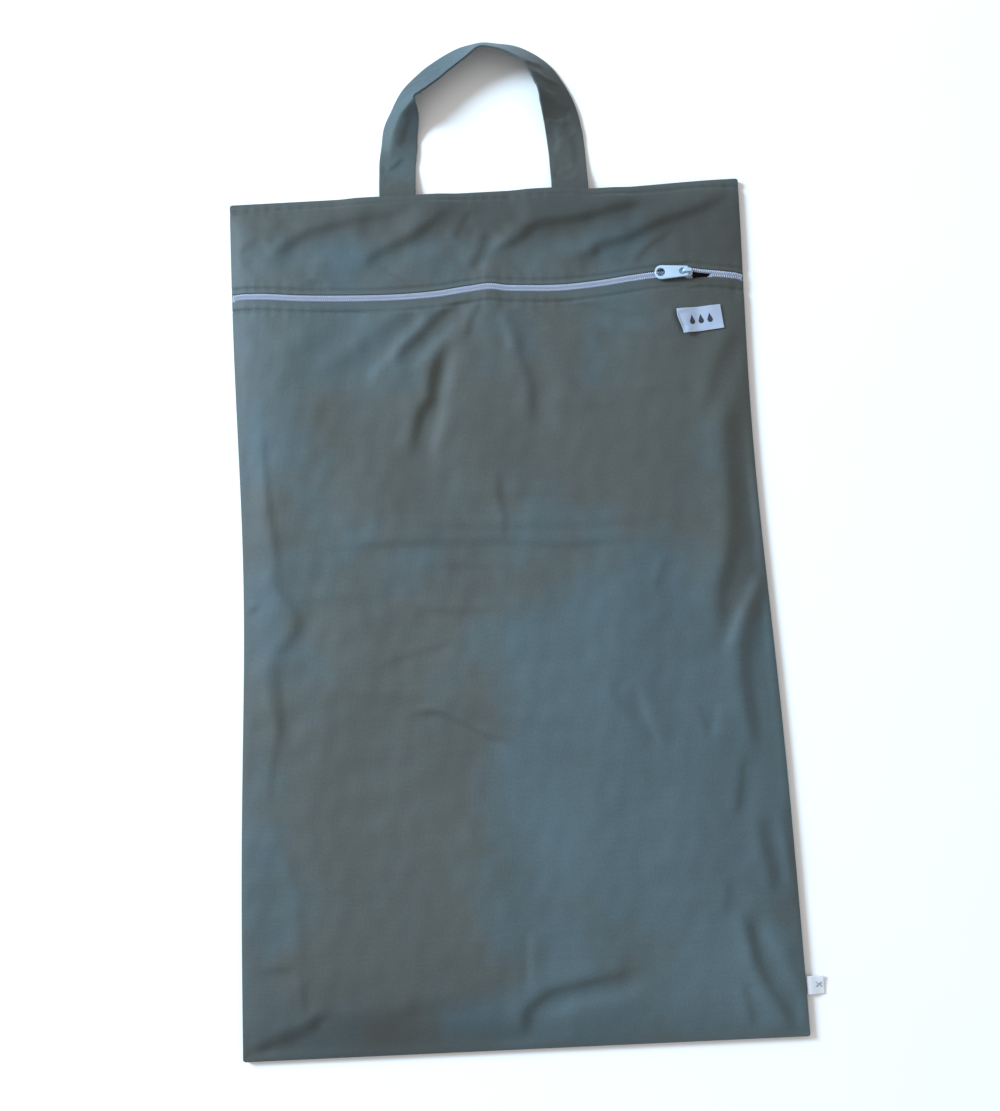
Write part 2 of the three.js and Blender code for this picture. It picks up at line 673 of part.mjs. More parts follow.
function named(name, geometry, finish) {
  const mesh = new THREE.Mesh(geometry, finish);
  mesh.name = name;
  return mesh;
}

// Assembly

const bag = new THREE.Group();

bag.add(named('back_panel', sheetGeometry(backColumns, backRows, backPoint), fabric()));
bag.add(named('front_lower_panel', sheetGeometry(panelColumns, lowerRows, lowerPanelPoint), fabric()));
bag.add(named('front_upper_panel', sheetGeometry(panelColumns, upperRows, upperPanelPoint), fabric()));
bag.add(named('zip_tape_upper', tapeGeometry(1), zipWhite()));
bag.add(named('zip_tape_lower', tapeGeometry(-1), zipWhite()));
bag.add(named('zip_coil_upper', coilGeometry(1), zipWhite()));
bag.add(named('zip_coil_lower', coilGeometry(-1), zipWhite()));
bag.add(named('handle_strap', sheetGeometry(strapAcross, strapStations, strapPoint), fabric()));
bag.add(named('woven_label', sheetGeometry(labelColumns, labelRows, labelPoint), satin()));
bag.add(named('care_tag', sheetGeometry(careTagColumns, careTagRows, careTagPoint), satin()));

// The slider follows the zip's direction and slope, and the tab's free end rests over the coils.
const sliderBack = zipAt(shareAtX(sliderX - sliderLength / 2));
const sliderFront = zipAt(shareAtX(sliderX + sliderLength / 2));
const sliderHeading = Math.atan2(sliderFront.y - sliderBack.y, sliderLength);
const sliderPitch = -Math.atan2(sliderFront.height - sliderBack.height, sliderLength);
const sliderY = (sliderBack.y + sliderFront.y) / 2;
const sliderGroup = new THREE.Group();
sliderGroup.position.set(sliderX, sliderY, (sliderBack.height + sliderFront.height) / 2);
sliderGroup.rotation.set(0, sliderPitch, sliderHeading, 'ZYX');
sliderGroup.add(named('zip_slider', sliderGeometry(), enamel()));

const tabGroup = new THREE.Group();
const restHeight = coilTop + tabRestGap + tabThickness / 2;
tabGroup.position.set(hingeOffset, 0, hingeHeight);
tabGroup.rotation.y = -Math.asin((hingeHeight - restHeight) / tabLength);
tabGroup.add(named('pull_tab', tabGeometry(), enamel()));
sliderGroup.add(tabGroup);
bag.add(sliderGroup);

export default bag;
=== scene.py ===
# %% [markdown]
# # A cloth wet bag, laid flat
#
# The bag is two panels of water-resistant cloth, sewn together round the edge, with a white zip
# across the front, a flat strap to hang it by, a small woven label and a care tag.
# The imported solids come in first. They fix every size and place, and the pieces made below are
# the same cloth and trim with their folds, stitches and weave.

# %% Load the frame
import json
import math
from collections import namedtuple

import bpy
import numpy as np
from mathutils import Matrix, Vector


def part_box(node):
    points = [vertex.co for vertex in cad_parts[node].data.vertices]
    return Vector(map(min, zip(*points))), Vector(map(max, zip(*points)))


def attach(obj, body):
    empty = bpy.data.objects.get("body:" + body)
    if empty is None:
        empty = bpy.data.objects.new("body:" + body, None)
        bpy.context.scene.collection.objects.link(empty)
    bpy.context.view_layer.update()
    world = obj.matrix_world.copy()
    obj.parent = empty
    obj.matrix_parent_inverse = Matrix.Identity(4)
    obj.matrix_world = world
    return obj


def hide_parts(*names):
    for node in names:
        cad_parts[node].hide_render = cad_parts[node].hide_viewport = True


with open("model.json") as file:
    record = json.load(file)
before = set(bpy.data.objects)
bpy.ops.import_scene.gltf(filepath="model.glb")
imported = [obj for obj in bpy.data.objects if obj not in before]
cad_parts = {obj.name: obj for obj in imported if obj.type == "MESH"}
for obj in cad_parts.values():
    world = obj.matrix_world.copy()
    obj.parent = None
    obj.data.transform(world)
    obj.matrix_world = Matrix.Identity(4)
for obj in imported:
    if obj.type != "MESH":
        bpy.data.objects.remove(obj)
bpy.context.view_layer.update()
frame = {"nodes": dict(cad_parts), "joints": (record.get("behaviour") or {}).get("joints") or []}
MM = 0.001
print("solids:", sorted(frame["nodes"]))

# %% [markdown]
# ## Sizes
#
# These are the sizes that the bag was drawn with, in millimetres. The origin is the middle of the
# back, X runs to the right and Y towards the strap. A size that two pieces share is written once,
# so that they still meet when it changes.

# %% Sizes of the bag
BAG_WIDTH = 400
BAG_HEIGHT = 640
CLOTH = 1.2                # thickness of one panel
SIDE_WAIST = 6             # how far each side draws in
CORNER_RADIUS = 1.8        # the corners are nearly sharp
SEAM_LIFT = 1.5            # height of the edge seam's underside
SEAM_LIFT_REACH = 26
SEAM_GAP = 0.3
SEAM_TOP = SEAM_LIFT + 2 * CLOTH + SEAM_GAP
PUFF_HEIGHT = 9.5          # how far the front swells above the seam
PUFF_REACH = 18
TOP = BAG_HEIGHT / 2
TOP_DIP = 2.6              # how far the top edge sinks beside the strap's right leg
DIP_START = 64             # it sinks from here
DIP_MIDDLE = 84            # to here, and is straight again
DIP_END = 188              # from here on

ZIP_Y = TOP - 82.5
ZIP_WANDER = 6
ZIP_BAND = 14              # half the height of the cloth that lies flat along the zip
ZIP_BAND_BLEND = 22
ZIP_SAG = 0.8
ZIP_INSET = 1.2            # from the side seams to the ends of the coils
CREASE_HEIGHT = 1.6        # where the zip was folded in storage
CREASE_REACH = 9
COIL_WIDTH = 2.5
COIL_HEIGHT = 1.8
COIL_SPACING = 0.3
TAPE_WIDTH = 12
TAPE_THICKNESS = 0.8
MOUTH_GAP = 3.4            # widest parting of the coils behind the slider
MOUTH_UPPER_SHARE = 0.4    # how much of the parting the upper coil takes
MOUTH_WIDEST = 0.12        # where it is widest, as a share of the way to the side seam
SLIDER_X = 150.5
SLIDER_LENGTH = 11

STRAP_WIDTH = 28.5
STRAP_THICKNESS = 1.6
STRAP_SPREAD = 82
STRAP_RISE = 126
STRAP_TUCK = 9
STRAP_SETTLE = 26
STRAP_BULGE = 20
STRAP_CLEAR = 15           # beyond a leg's edge, before the front starts to settle

# The zip's line: share of half the bag's width, and rise as a share of ZIP_WANDER.
ZIP_LINE = np.array([
    (-1.00, 0.95), (-0.92, 0.75), (-0.73, 0.03), (-0.53, -0.38), (-0.34, -0.55), (-0.19, -0.37),
    (-0.07, 0.07), (0.01, 0.20), (0.08, -0.08), (0.28, -0.40), (0.43, -0.13), (0.59, 0.45),
    (0.70, 0.72), (0.80, 0.74), (0.97, 0.35), (1.00, 0.20),
])
print("zip line has", len(ZIP_LINE), "points")

# %% [markdown]
# ## Camera
#
# The photograph was taken from almost straight above, a little below the bag's middle. The camera
# stands 0.89 m over the floor and looks down with its top turned slightly towards the strap.
# Its place was fitted to the bag's outline and then kept, because every crease below was placed
# against this view.

# %% Camera
CAMERA_PLACE = Vector((7.5, -101.1, 890.5)) * MM
LOOK = Vector((-0.0099, 0.1484, -0.9889)).normalized()
IMAGE_UP = Vector((0.0504, 0.9877, 0.1478))
FOCAL_PIXELS = 1200        # in an image 1111 pixels high
IMAGE_HEIGHT = 1111
SENSOR = 36

camera_data = bpy.data.cameras.new("camera")
camera_data.sensor_width = SENSOR
camera_data.lens = FOCAL_PIXELS / IMAGE_HEIGHT * SENSOR
camera_data.clip_start = 0.05
camera = bpy.data.objects.new("camera", camera_data)
bpy.context.scene.collection.objects.link(camera)
image_right = LOOK.cross(IMAGE_UP).normalized()
image_up = image_right.cross(LOOK)
turn = Matrix((image_right, image_up, -LOOK)).transposed().to_4x4()
camera.matrix_world = Matrix.Translation(CAMERA_PLACE) @ turn
bpy.context.scene.camera = camera
print("lens", round(camera_data.lens, 2), "mm")

# %% [markdown]
# ## Curves and edges
#
# Every piece of cloth is placed by a few small functions, which take arrays, so that one call
# places a whole sheet. The outline comes first: a straight bottom, sides that draw in slightly,
# nearly sharp corners, and a top that sinks a little beside the strap's right leg.

# %% Outline


def smooth_step(value, low, high):
    """0 below low, 1 above high, and a soft S between them."""
    t = np.clip((value - low) / (high - low), 0, 1)
    return t * t * (3 - 2 * t)


def curve_through(points, places, column=1):
    """The smooth curve through rows of (place, value, ...), read at places."""
    row = np.clip(np.searchsorted(points[:, 0], places, side="right") - 1, 0, len(points) - 2)
    t = np.clip((places - points[row, 0]) / (points[row + 1, 0] - points[row, 0]), 0, 1)
    values = points[:, column]

    def at(k):
        return values[np.clip(k, 0, len(points) - 1)]

    blend = t * t * (3 - 2 * t)
    bend = (at(row + 1) - at(row - 1)) / 2 * t * (1 - t) ** 2
    bend = bend - (at(row + 2) - at(row)) / 2 * t * t * (1 - t)
    return at(row) + (at(row + 1) - at(row)) * blend + bend


def waist(y, middle, spread):
    return SIDE_WAIST * np.exp(-(((y / TOP - middle) / spread) ** 2))


def corner_inset(y):
    past = np.clip(CORNER_RADIUS - (TOP - np.abs(y)), 0, CORNER_RADIUS)
    return CORNER_RADIUS - np.sqrt(CORNER_RADIUS ** 2 - past ** 2)


def left_edge(y):
    return -BAG_WIDTH / 2 + waist(y, 0.05, 0.50) + corner_inset(y)


def right_edge(y):
    return BAG_WIDTH / 2 - waist(y, 0.35, 0.55) - corner_inset(y)


def top_edge(x):
    sinks = smooth_step(x, DIP_START, DIP_MIDDLE)
    returns = 1 - smooth_step(x, DIP_MIDDLE, DIP_END)
    return TOP - TOP_DIP * sinks * returns


def to_end(x, y):
    """Distance to the top or bottom edge, whichever is nearer."""
    return np.minimum(top_edge(x) - y, y + TOP)


def to_side(x, y):
    """Distance to the left or right edge, whichever is nearer."""
    return np.minimum(x - left_edge(y), right_edge(y) - x)


def to_edge(x, y):
    """Distance to the nearest edge."""
    return np.minimum(to_side(x, y), to_end(x, y))


def across_bag(share, y):
    return left_edge(y) + (right_edge(y) - left_edge(y)) * share


print("width at the zip:", float(right_edge(ZIP_Y) - left_edge(ZIP_Y)), "mm")

# %% [markdown]
# ## Folds
#
# Laminated cloth doesn't drape softly: it keeps shallow creases where it was folded and where the
# zip and the seams pull on it. A simulation would make folds, but not these ones, so each is
# listed. Its path is in whole millimetres from the middle of the bag. The cloth drops
# across the path, towards the side away from the window, and that short slope is the dark line
# that the eye sees. It drops by `drop` millimetres, over about twice `crease`, and comes back
# slowly within `reach`, slowest on the downhill side. A negative drop climbs instead, and catches
# the light.

# %% Table of folds
Fold = namedtuple("Fold", "drop crease reach path")
FOLDS = [
    # Upper panel, from the zip up to the top seam.
    Fold(3.8, 4.4, 18, [
        (-168, 269), (-157, 278), (-144, 287), (-128, 293), (-97, 299), (-66, 303), (-50, 303),
    ]),
    Fold(1.2, 3.2, 11, [(-196, 274), (-183, 285), (-173, 291)]),
    Fold(1.4, 5.2, 11, [(-169, 283), (-162, 294), (-157, 306)]),
    Fold(-1.9, 9.2, 13, [(-168, 258), (-129, 272), (-97, 283), (-66, 291), (-47, 295)]),
    Fold(3.6, 3.8, 15, [
        (-94, 252), (-90, 265), (-78, 273), (-62, 279), (-48, 287), (-36, 297), (-21, 311),
    ]),
    Fold(-1.4, 8.0, 11, [(-79, 256), (-52, 268), (-28, 280)]),
    Fold(1.7, 2.9, 9, [(-26, 277), (-18, 291), (-11, 304)]),
    Fold(1.9, 3.9, 9, [(-15, 290), (-4, 289), (11, 290), (23, 287)]),
    Fold(2.8, 3.4, 10, [(-15, 252), (-9, 260), (-4, 269), (-2, 279), (3, 287)]),
    Fold(-1.2, 4.2, 9, [(-8, 249), (1, 259), (7, 273), (15, 283)]),
    Fold(1.4, 1.6, 6, [(-141, 253), (-129, 250), (-122, 245), (-108, 240)]),
    Fold(4.2, 3.6, 15, [
        (1, 254), (8, 267), (26, 276), (34, 284), (46, 288), (73, 291), (105, 298), (120, 300),
        (134, 301),
    ]),
    Fold(4.3, 3.6, 15, [
        (55, 254), (71, 260), (81, 261), (87, 267), (111, 273), (135, 284), (158, 291), (182, 302),
        (197, 309),
    ]),
    Fold(-2.1, 8.0, 13, [(25, 256), (57, 270), (88, 282), (120, 292), (143, 299)]),
    Fold(1.3, 1.8, 7, [(111, 248), (117, 258), (126, 266), (134, 271), (148, 280)]),
    # Below the zip, fanning out from where the storage crease crosses it.
    Fold(3.5, 7.2, 15, [(-50, 225), (-65, 218), (-86, 205), (-107, 189), (-130, 173)]),
    Fold(-2.1, 4.6, 9, [(-48, 216), (-66, 201), (-81, 186), (-98, 169)]),
    Fold(1.9, 9.1, 15, [(-105, 212), (-127, 203), (-144, 195), (-152, 180), (-160, 158)]),
    Fold(3.9, 3.4, 11, [(-9, 230), (-26, 226), (-36, 220), (-53, 204), (-67, 191), (-73, 176)]),
    Fold(-2.4, 4.0, 9, [(-24, 213), (-39, 199), (-51, 188), (-64, 174)]),
    Fold(4.1, 3.4, 11, [
        (-31, 200), (-41, 183), (-46, 166), (-48, 152), (-55, 143), (-61, 122), (-64, 102),
    ]),
    Fold(-2.2, 5.2, 11, [(-24, 202), (-31, 181), (-35, 163), (-42, 135), (-46, 119), (-52, 96)]),
    Fold(1.9, 2.2, 7, [(-8, 229), (-12, 218), (-16, 210), (-19, 194)]),
    Fold(-1.6, 4.0, 9, [(6, 222), (11, 204), (15, 184)]),
    Fold(2.3, 3.6, 11, [(15, 218), (20, 196), (23, 180), (28, 164), (29, 137), (26, 118)]),
    Fold(-1.0, 6.9, 11, [(40, 195), (45, 163), (42, 140), (38, 117)]),
    Fold(1.3, 2.3, 7, [(12, 220), (25, 218), (34, 213), (47, 204)]),
    Fold(2.8, 3.1, 11, [(30, 229), (62, 225), (77, 220), (92, 215), (110, 211), (136, 211)]),
    Fold(1.4, 2.9, 9, [(84, 204), (98, 196), (113, 194), (146, 191)]),
    Fold(0.7, 3.9, 9, [(94, 186), (120, 183), (147, 180)]),
    Fold(0.9, 3.2, 9, [(43, 148), (64, 142), (79, 139), (104, 136)]),
    Fold(0.7, 3.2, 9, [(106, 152), (125, 151), (146, 148)]),
    # Down the right side, where the front rolls over to the seam.
    Fold(3.3, 5.9, 11, [
        (196, 204), (185, 191), (179, 183), (169, 164), (166, 153), (163, 143), (152, 130),
    ]),
    Fold(6.6, 6.5, 16, [
        (189, 156), (181, 132), (176, 117), (175, 87), (175, 56), (171, 26), (163, 4), (159, -24),
        (161, -42),
    ]),
    Fold(-1.6, 5.8, 9, [(198, 95), (197, 55), (194, 15)]),
    Fold(-2.4, 3.4, 8, [(189, 12), (179, -8), (168, -29), (157, -55)]),
    Fold(5.6, 5.2, 12, [
        (197, 2), (185, -14), (176, -41), (173, -62), (174, -88), (177, -109), (180, -132),
    ]),
    Fold(2.2, 3.2, 9, [(166, -122), (164, -141), (161, -155), (158, -168)]),
    Fold(3.4, 5.0, 9, [(175, -165), (178, -191), (180, -205), (182, -228)]),
    Fold(-2.2, 4.0, 8, [(187, -160), (190, -191), (192, -218)]),
    # Down the left side, a long lit slope with lumps along it.
    Fold(-1.5, 8.0, 16, [
        (-179, 216), (-179, 175), (-179, 136), (-181, 97), (-181, 59), (-178, 29), (-173, -3),
        (-179, -30), (-183, -59), (-179, -89), (-181, -117), (-185, -146), (-182, -174), (-176, -210),
    ]),
    Fold(2.0, 3.9, 9, [(-172, 34), (-164, 12), (-153, -4), (-153, -17), (-163, -30), (-172, -38)]),
    Fold(1.3, 3.9, 9, [(-172, -34), (-173, -60), (-167, -82), (-161, -106)]),
    Fold(1.3, 1.6, 4, [(-193, -3), (-187, 0), (-181, 1)]),
    Fold(1.1, 2.0, 14, [(-175, 150), (-174, 108), (-171, 76), (-167, 44), (-165, 16)]),
    Fold(1.1, 2.0, 14, [(-170, -36), (-168, -57), (-166, -83), (-173, -119), (-177, -155)]),
    # Across the middle, from folding the bag in half and in half again.
    Fold(0.7, 2.6, 7, [(2, 76), (23, 76), (50, 77)]),
    Fold(1.3, 2.9, 9, [(-70, 57), (0, 52), (59, 51), (125, 50)]),
    Fold(1.8, 2.9, 10, [(-150, 40), (-75, 43), (-1, 41), (44, 36), (88, 37), (150, 31)]),
    Fold(1.3, 3.2, 8, [(-63, 26), (-31, 25), (3, 22)]),
    Fold(0.7, 2.9, 8, [(-155, 5), (-121, 4), (-83, 2)]),
    Fold(1.4, 2.9, 8, [(-66, -4), (-40, -9), (2, -10)]),
    Fold(1.2, 2.0, 7, [(0, 98), (1, 73), (4, 57), (1, 39)]),
    # Lower half: a long soft diagonal, and a short sharp crease above it.
    Fold(0.7, 1.6, 4, [(-96, -47), (-71, -40), (-49, -34), (-34, -28)]),
    Fold(1.4, 5.2, 11, [(-145, -64), (-108, -68), (-50, -75), (-29, -83), (7, -92), (58, -97)]),
    Fold(2.8, 1.4, 7, [(-75, -83), (-58, -82), (-47, -84), (-29, -94), (-11, -103), (4, -108)]),
    Fold(0.9, 6.5, 15, [(-5, -102), (35, -113), (64, -120), (92, -132), (127, -139), (165, -151)]),
    Fold(1.4, 3.9, 8, [(73, -68), (82, -83), (92, -100)]),
    Fold(-1.6, 2.9, 7, [(92, -68), (98, -88), (104, -104), (111, -118)]),
    Fold(1.2, 2.6, 6, [(136, -85), (140, -97), (144, -111)]),
    Fold(-1.1, 2.3, 6, [(152, -84), (149, -99), (144, -111)]),
    Fold(0.9, 2.6, 6, [(121, 24), (116, 10), (111, -2)]),
    Fold(1.3, 5.2, 10, [(-176, -160), (-162, -182), (-156, -203), (-154, -231), (-153, -270)]),
    # Near the bottom seam and its corners.
    Fold(1.6, 3.1, 7, [(150, -207), (148, -221), (144, -236)]),
    Fold(5.0, 3.6, 10, [
        (156, -230), (162, -248), (166, -269), (176, -290), (186, -306), (192, -316),
    ]),
    Fold(-2.6, 4.6, 9, [(169, -237), (178, -259), (186, -277), (193, -297)]),
    Fold(2.0, 2.9, 7, [(154, -280), (158, -296), (162, -313)]),
    Fold(4.2, 3.8, 12, [
        (2, -314), (1, -302), (3, -292), (19, -281), (40, -276), (69, -271), (88, -268),
    ]),
    Fold(-2.4, 4.6, 10, [(12, -300), (32, -290), (54, -286), (75, -283), (93, -278)]),
    Fold(-1.1, 1.8, 6, [(7, -236), (6, -258), (4, -280)]),
    Fold(3.9, 3.4, 10, [(-198, -315), (-179, -307), (-154, -298), (-145, -292), (-133, -286)]),
    Fold(2.2, 6.5, 13, [
        (-150, -286), (-122, -291), (-94, -294), (-77, -288), (-55, -286), (-25, -286),
    ]),
    Fold(2.6, 8.0, 18, [(-230, -299), (-196, -300), (-100, -303), (0, -304), (90, -303)]),
    Fold(1.3, 2.3, 6, [(-155, -264), (-154, -278), (-153, -290)]),
    Fold(1.2, 2.3, 6, [(-187, -258), (-171, -257), (-159, -256)]),
    # Beside the label's lifted end.
    Fold(2.0, 1.3, 5, [(140, 214), (142, 205), (147, 194)]),
]
print(len(FOLDS), "folds")

# %% [markdown]
# ## The front's surface
#
# The height of the front over the floor adds up from simple parts. It swells away from the seams,
# each fold takes some height or gives it, a slow unevenness covers the whole, and along the zip
# all of that gives way to a flat band that the tapes keep straight. Each part is one function.

# %% Swell and folds
PIECE_LENGTH = 6.0         # of the short straight pieces that a fold's path is cut into
AWAY_FROM_WINDOW = (0.88, -0.47)
FOLD_MARGIN = 4.0          # a fold is worked out this many reaches from its path
DOWNHILL_REACH = 1.7       # how much slower the cloth comes back on the downhill side
FADE_IN = 0.22             # a fold has its full strength between these shares of its path
FADE_OUT = 0.72


def swell(distance):
    return 1 - np.exp(-np.maximum(distance, 0) / PUFF_REACH)


def swollen_height(x, y):
    return SEAM_TOP + PUFF_HEIGHT * swell(to_side(x, y)) * swell(to_end(x, y))


def smooth_line(path):
    """A fold's path, rounded and cut into short pieces."""
    corners = np.array(path, dtype=float)
    lengths = np.concatenate(([0], np.cumsum(np.hypot(*np.diff(corners, axis=0).T))))
    fine = np.linspace(0, len(corners) - 1, max(int(lengths[-1] / PIECE_LENGTH), 4) + 1)
    places = np.arange(len(corners), dtype=float)
    return np.stack([
        curve_through(np.column_stack((places, corners[:, axis])), fine) for axis in (0, 1)
    ], axis=1)


def fold_height(fold, x, y, away=AWAY_FROM_WINDOW):
    """What one fold adds to the height. It takes flat arrays."""
    line = smooth_line(fold.path)
    chord = line[-1] - line[0]
    downhill = 1 if chord[1] * away[0] - chord[0] * away[1] > 0 else -1
    nearest = np.full(x.shape, np.inf)
    beside = np.zeros(x.shape)
    place = np.zeros(x.shape)
    pieces = len(line) - 1
    for i in range(pieces):
        along = line[i + 1] - line[i]
        across, up = x - line[i, 0], y - line[i, 1]
        share = np.clip((across * along[0] + up * along[1]) / (along @ along), 0, 1)
        across, up = across - share * along[0], up - share * along[1]
        distance = np.hypot(across, up)
        closer = distance < nearest
        nearest[closer] = distance[closer]
        right_side = across * along[1] - up * along[0] > 0
        beside[closer] = np.where(right_side, distance, -distance)[closer]
        place[closer] = ((i + share) / pieces)[closer]
    strength = smooth_step(place, 0, FADE_IN) * (1 - smooth_step(place, FADE_OUT, 1))
    beside = beside * downhill
    reach = np.where(beside > 0, DOWNHILL_REACH * fold.reach, fold.reach)
    return -0.5 * fold.drop * strength * np.tanh(beside / fold.crease) * np.exp(-((beside / reach) ** 2))


def all_folds(x, y):
    total = np.zeros(x.shape)
    for fold in FOLDS:
        path = np.array(fold.path)
        margin = FOLD_MARGIN * fold.reach
        low, high = path.min(0) - margin, path.max(0) + margin
        near = (x > low[0]) & (x < high[0]) & (y > low[1]) & (y < high[1])
        if near.any():
            total[near] += fold_height(fold, x[near], y[near])
    return total


# %% [markdown]
# Two more things add to the relief: slow waves that no cloth is without, and a fine crinkle that
# laminated cloth keeps for good. The waves bend, so that they don't look ruled.

# %% Unevenness
# Each row is how many waves, their shortest and longest length, and their height.
WAVES = [(9, 60, 180, 0.28), (14, 14, 34, 0.045)]
WAVE_BEND = 0.8
BEND_RATE = 2.3
CALM_REACH = 9             # the seams keep the cloth smooth this far in


def unevenness(x, y):
    chance = np.random.default_rng(12)
    total = np.zeros(x.shape)
    for count, shortest, longest, height in WAVES:
        for _ in range(count):
            length = chance.uniform(shortest, longest)
            heading = chance.uniform(0, math.pi)
            shift = chance.uniform(0, 2 * math.pi)
            along = x * math.cos(heading) + y * math.sin(heading)
            across = x * math.sin(heading) - y * math.cos(heading)
            bend = WAVE_BEND * np.sin(across / length * BEND_RATE + shift)
            total += height * np.sin(2 * math.pi * along / length + shift + bend)
    return total


def folds_and_waves(x, y):
    return (all_folds(x, y) + unevenness(x, y)) * smooth_step(to_edge(x, y), 0, CALM_REACH)


sample = folds_and_waves(np.linspace(-190, 190, 400), np.full(400, 150.0))
print("folds across the bag:", round(sample.min(), 2), "to", round(sample.max(), 2), "mm")

# %% [markdown]
# The zip's line wanders up and down and sags between the side seams. Behind the slider the coils
# part, and just there the lower one slips a little way under the lower panel. The front's height
# follows from the line and from all the parts above.

# %% Zip line and the whole front


def zip_at(share):
    """X, Y and height of the zip's line at shares of the bag's width."""
    y = ZIP_Y + ZIP_WANDER * curve_through(ZIP_LINE, 2 * share - 1)
    x = across_bag(share, y)
    sag = ZIP_SAG * swell(x - left_edge(y)) * swell(right_edge(y) - x)
    crease = CREASE_HEIGHT * np.exp(-((x / CREASE_REACH) ** 2))
    return x, y, swollen_height(x, y) - sag + crease


def share_at(x, y):
    return (x - left_edge(y)) / (right_edge(y) - left_edge(y))


FOLDS_FROM_ZIP = (3, 15)   # folds start within this range of the zip's line
MOUTH_START = float(share_at(SLIDER_X - SLIDER_LENGTH / 4, ZIP_Y))
SLIP_START = (4, 7.5)      # distances from the slider's middle, over which the slip begins
SLIP_END = (16, 21)        # and over which it ends


def coil_offset(share, side):
    """From the zip's line to the near side of a coil. side is 1 above it and -1 below."""
    t = np.maximum(share - MOUTH_START, 0) / (1 - MOUTH_START) / MOUTH_WIDEST
    part = MOUTH_UPPER_SHARE if side > 0 else 1 - MOUTH_UPPER_SHARE
    return COIL_SPACING / 2 + part * MOUTH_GAP * (t * np.exp(1 - t)) ** 2


def mouth_slip(share, side):
    """How far the lower coil slips under the lower panel just behind the slider, from 0 to 1."""
    x = across_bag(share, ZIP_Y)
    begun = smooth_step(x, SLIDER_X + SLIP_START[0], SLIDER_X + SLIP_START[1])
    ended = smooth_step(x, SLIDER_X + SLIP_END[0], SLIDER_X + SLIP_END[1])
    slip = begun * (1 - ended)
    return slip if side < 0 else 0 * slip


def strap_rise(x, y):
    """The front rises over the strap ends that are caught in the top seam."""
    from_leg = np.abs(np.abs(x) - (STRAP_SPREAD - STRAP_WIDTH / 2)) - STRAP_WIDTH / 2 - STRAP_CLEAR
    from_top = TOP - y - STRAP_TUCK - STRAP_CLEAR
    near = (1 - smooth_step(from_leg, 0, STRAP_BULGE)) * (1 - smooth_step(from_top, 0, STRAP_BULGE))
    return (STRAP_THICKNESS + SEAM_GAP) * near


def front_height(x, y):
    _, zip_y, zip_height = zip_at(share_at(x, y))
    from_zip = np.abs(y - zip_y)
    free = smooth_step(from_zip, ZIP_BAND, ZIP_BAND + ZIP_BAND_BLEND)
    base = zip_height + (swollen_height(x, y) - zip_height) * free
    folds = folds_and_waves(x, y) * smooth_step(from_zip, *FOLDS_FROM_ZIP)
    return base + folds + strap_rise(x, y)


print("height at the zip's middle:", round(float(zip_at(np.array([0.5]))[2][0]), 2), "mm")

# %% [markdown]
# ## Colours and nodes
#
# Colours are written as sRGB hex values, as they are read off a screen, and one function turns
# them into the linear values that shaders work with. A second one adds a node, sets its
# inputs and links them, which keeps each material below to a short list. Nothing real has one
# even colour, so the plain materials drift between two shades.

# %% Material helpers


def linear(hex_colour):
    """An sRGB hex colour as linear red, green, blue and alpha."""
    values = [int(hex_colour[i:i + 2], 16) / 255 for i in (1, 3, 5)]
    return (*[v / 12.92 if v <= 0.04045 else ((v + 0.055) / 1.055) ** 2.4 for v in values], 1)


def add_node(tree, kind, settings=None, **inputs):
    """A new node. An input given as a socket is linked, and any other value is set."""
    node = tree.nodes.new(kind)
    for name, value in (settings or {}).items():
        setattr(node, name, value)
    for name, value in inputs.items():
        socket = node.inputs[int(name[1:])] if name[1:].isdigit() else node.inputs[name.replace("_", " ")]
        if isinstance(value, bpy.types.NodeSocket):
            tree.links.new(value, socket)
        else:
            socket.default_value = value
    return node


def new_material(name, **surface):
    """A material with one Principled shader, and its node tree and shader."""
    material = bpy.data.materials.new(name)
    material.use_nodes = True
    tree = material.node_tree
    tree.nodes.clear()
    shader = add_node(tree, "ShaderNodeBsdfPrincipled", **surface)
    output = tree.nodes.new("ShaderNodeOutputMaterial")
    tree.links.new(shader.outputs["BSDF"], output.inputs["Surface"])
    return material, tree, shader


def mottled_material(name, shade, other_shade, noise_scale, **surface):
    """A material whose colour drifts between two shades. Returns its tree, shader and noise too."""
    material, tree, shader = new_material(name, **surface)
    place = add_node(tree, "ShaderNodeTexCoord").outputs["Object"]
    noise = add_node(tree, "ShaderNodeTexNoise", Vector=place, Scale=noise_scale, Detail=2.0)
    mixed = add_node(
        tree, "ShaderNodeMixRGB", Fac=noise.outputs["Fac"],
        Color1=linear(shade), Color2=linear(other_shade),
    )
    tree.links.new(mixed.outputs[0], shader.inputs["Base Color"])
    return material, tree, shader, noise


# %% [markdown]
# ## Laminated cloth
#
# The panels and the strap are a tightly woven polyester, laminated inside with a waterproof film.
# It reads as a matt slate grey with a slightly blue, hazy sheen where light grazes it.
# The threads are about 0.25 mm apart, too fine to show from 0.9 m, so the weave is drawn with
# threads 0.9 mm apart. Slow random changes between a bluer and a greener grey stand for the
# uneven lamination. The same two greys also carry painted light: a bluer painted reflection of the
# window where a patch faces it, and a greener painted shade where it faces away.

# %% Cloth material
WAVE_PERIOD = 0.314159      # a Wave Texture of scale 1 has its bands this far apart, in metres
THREAD_PITCH = 0.9 * MM
PATCH_SIZE = 70 * MM


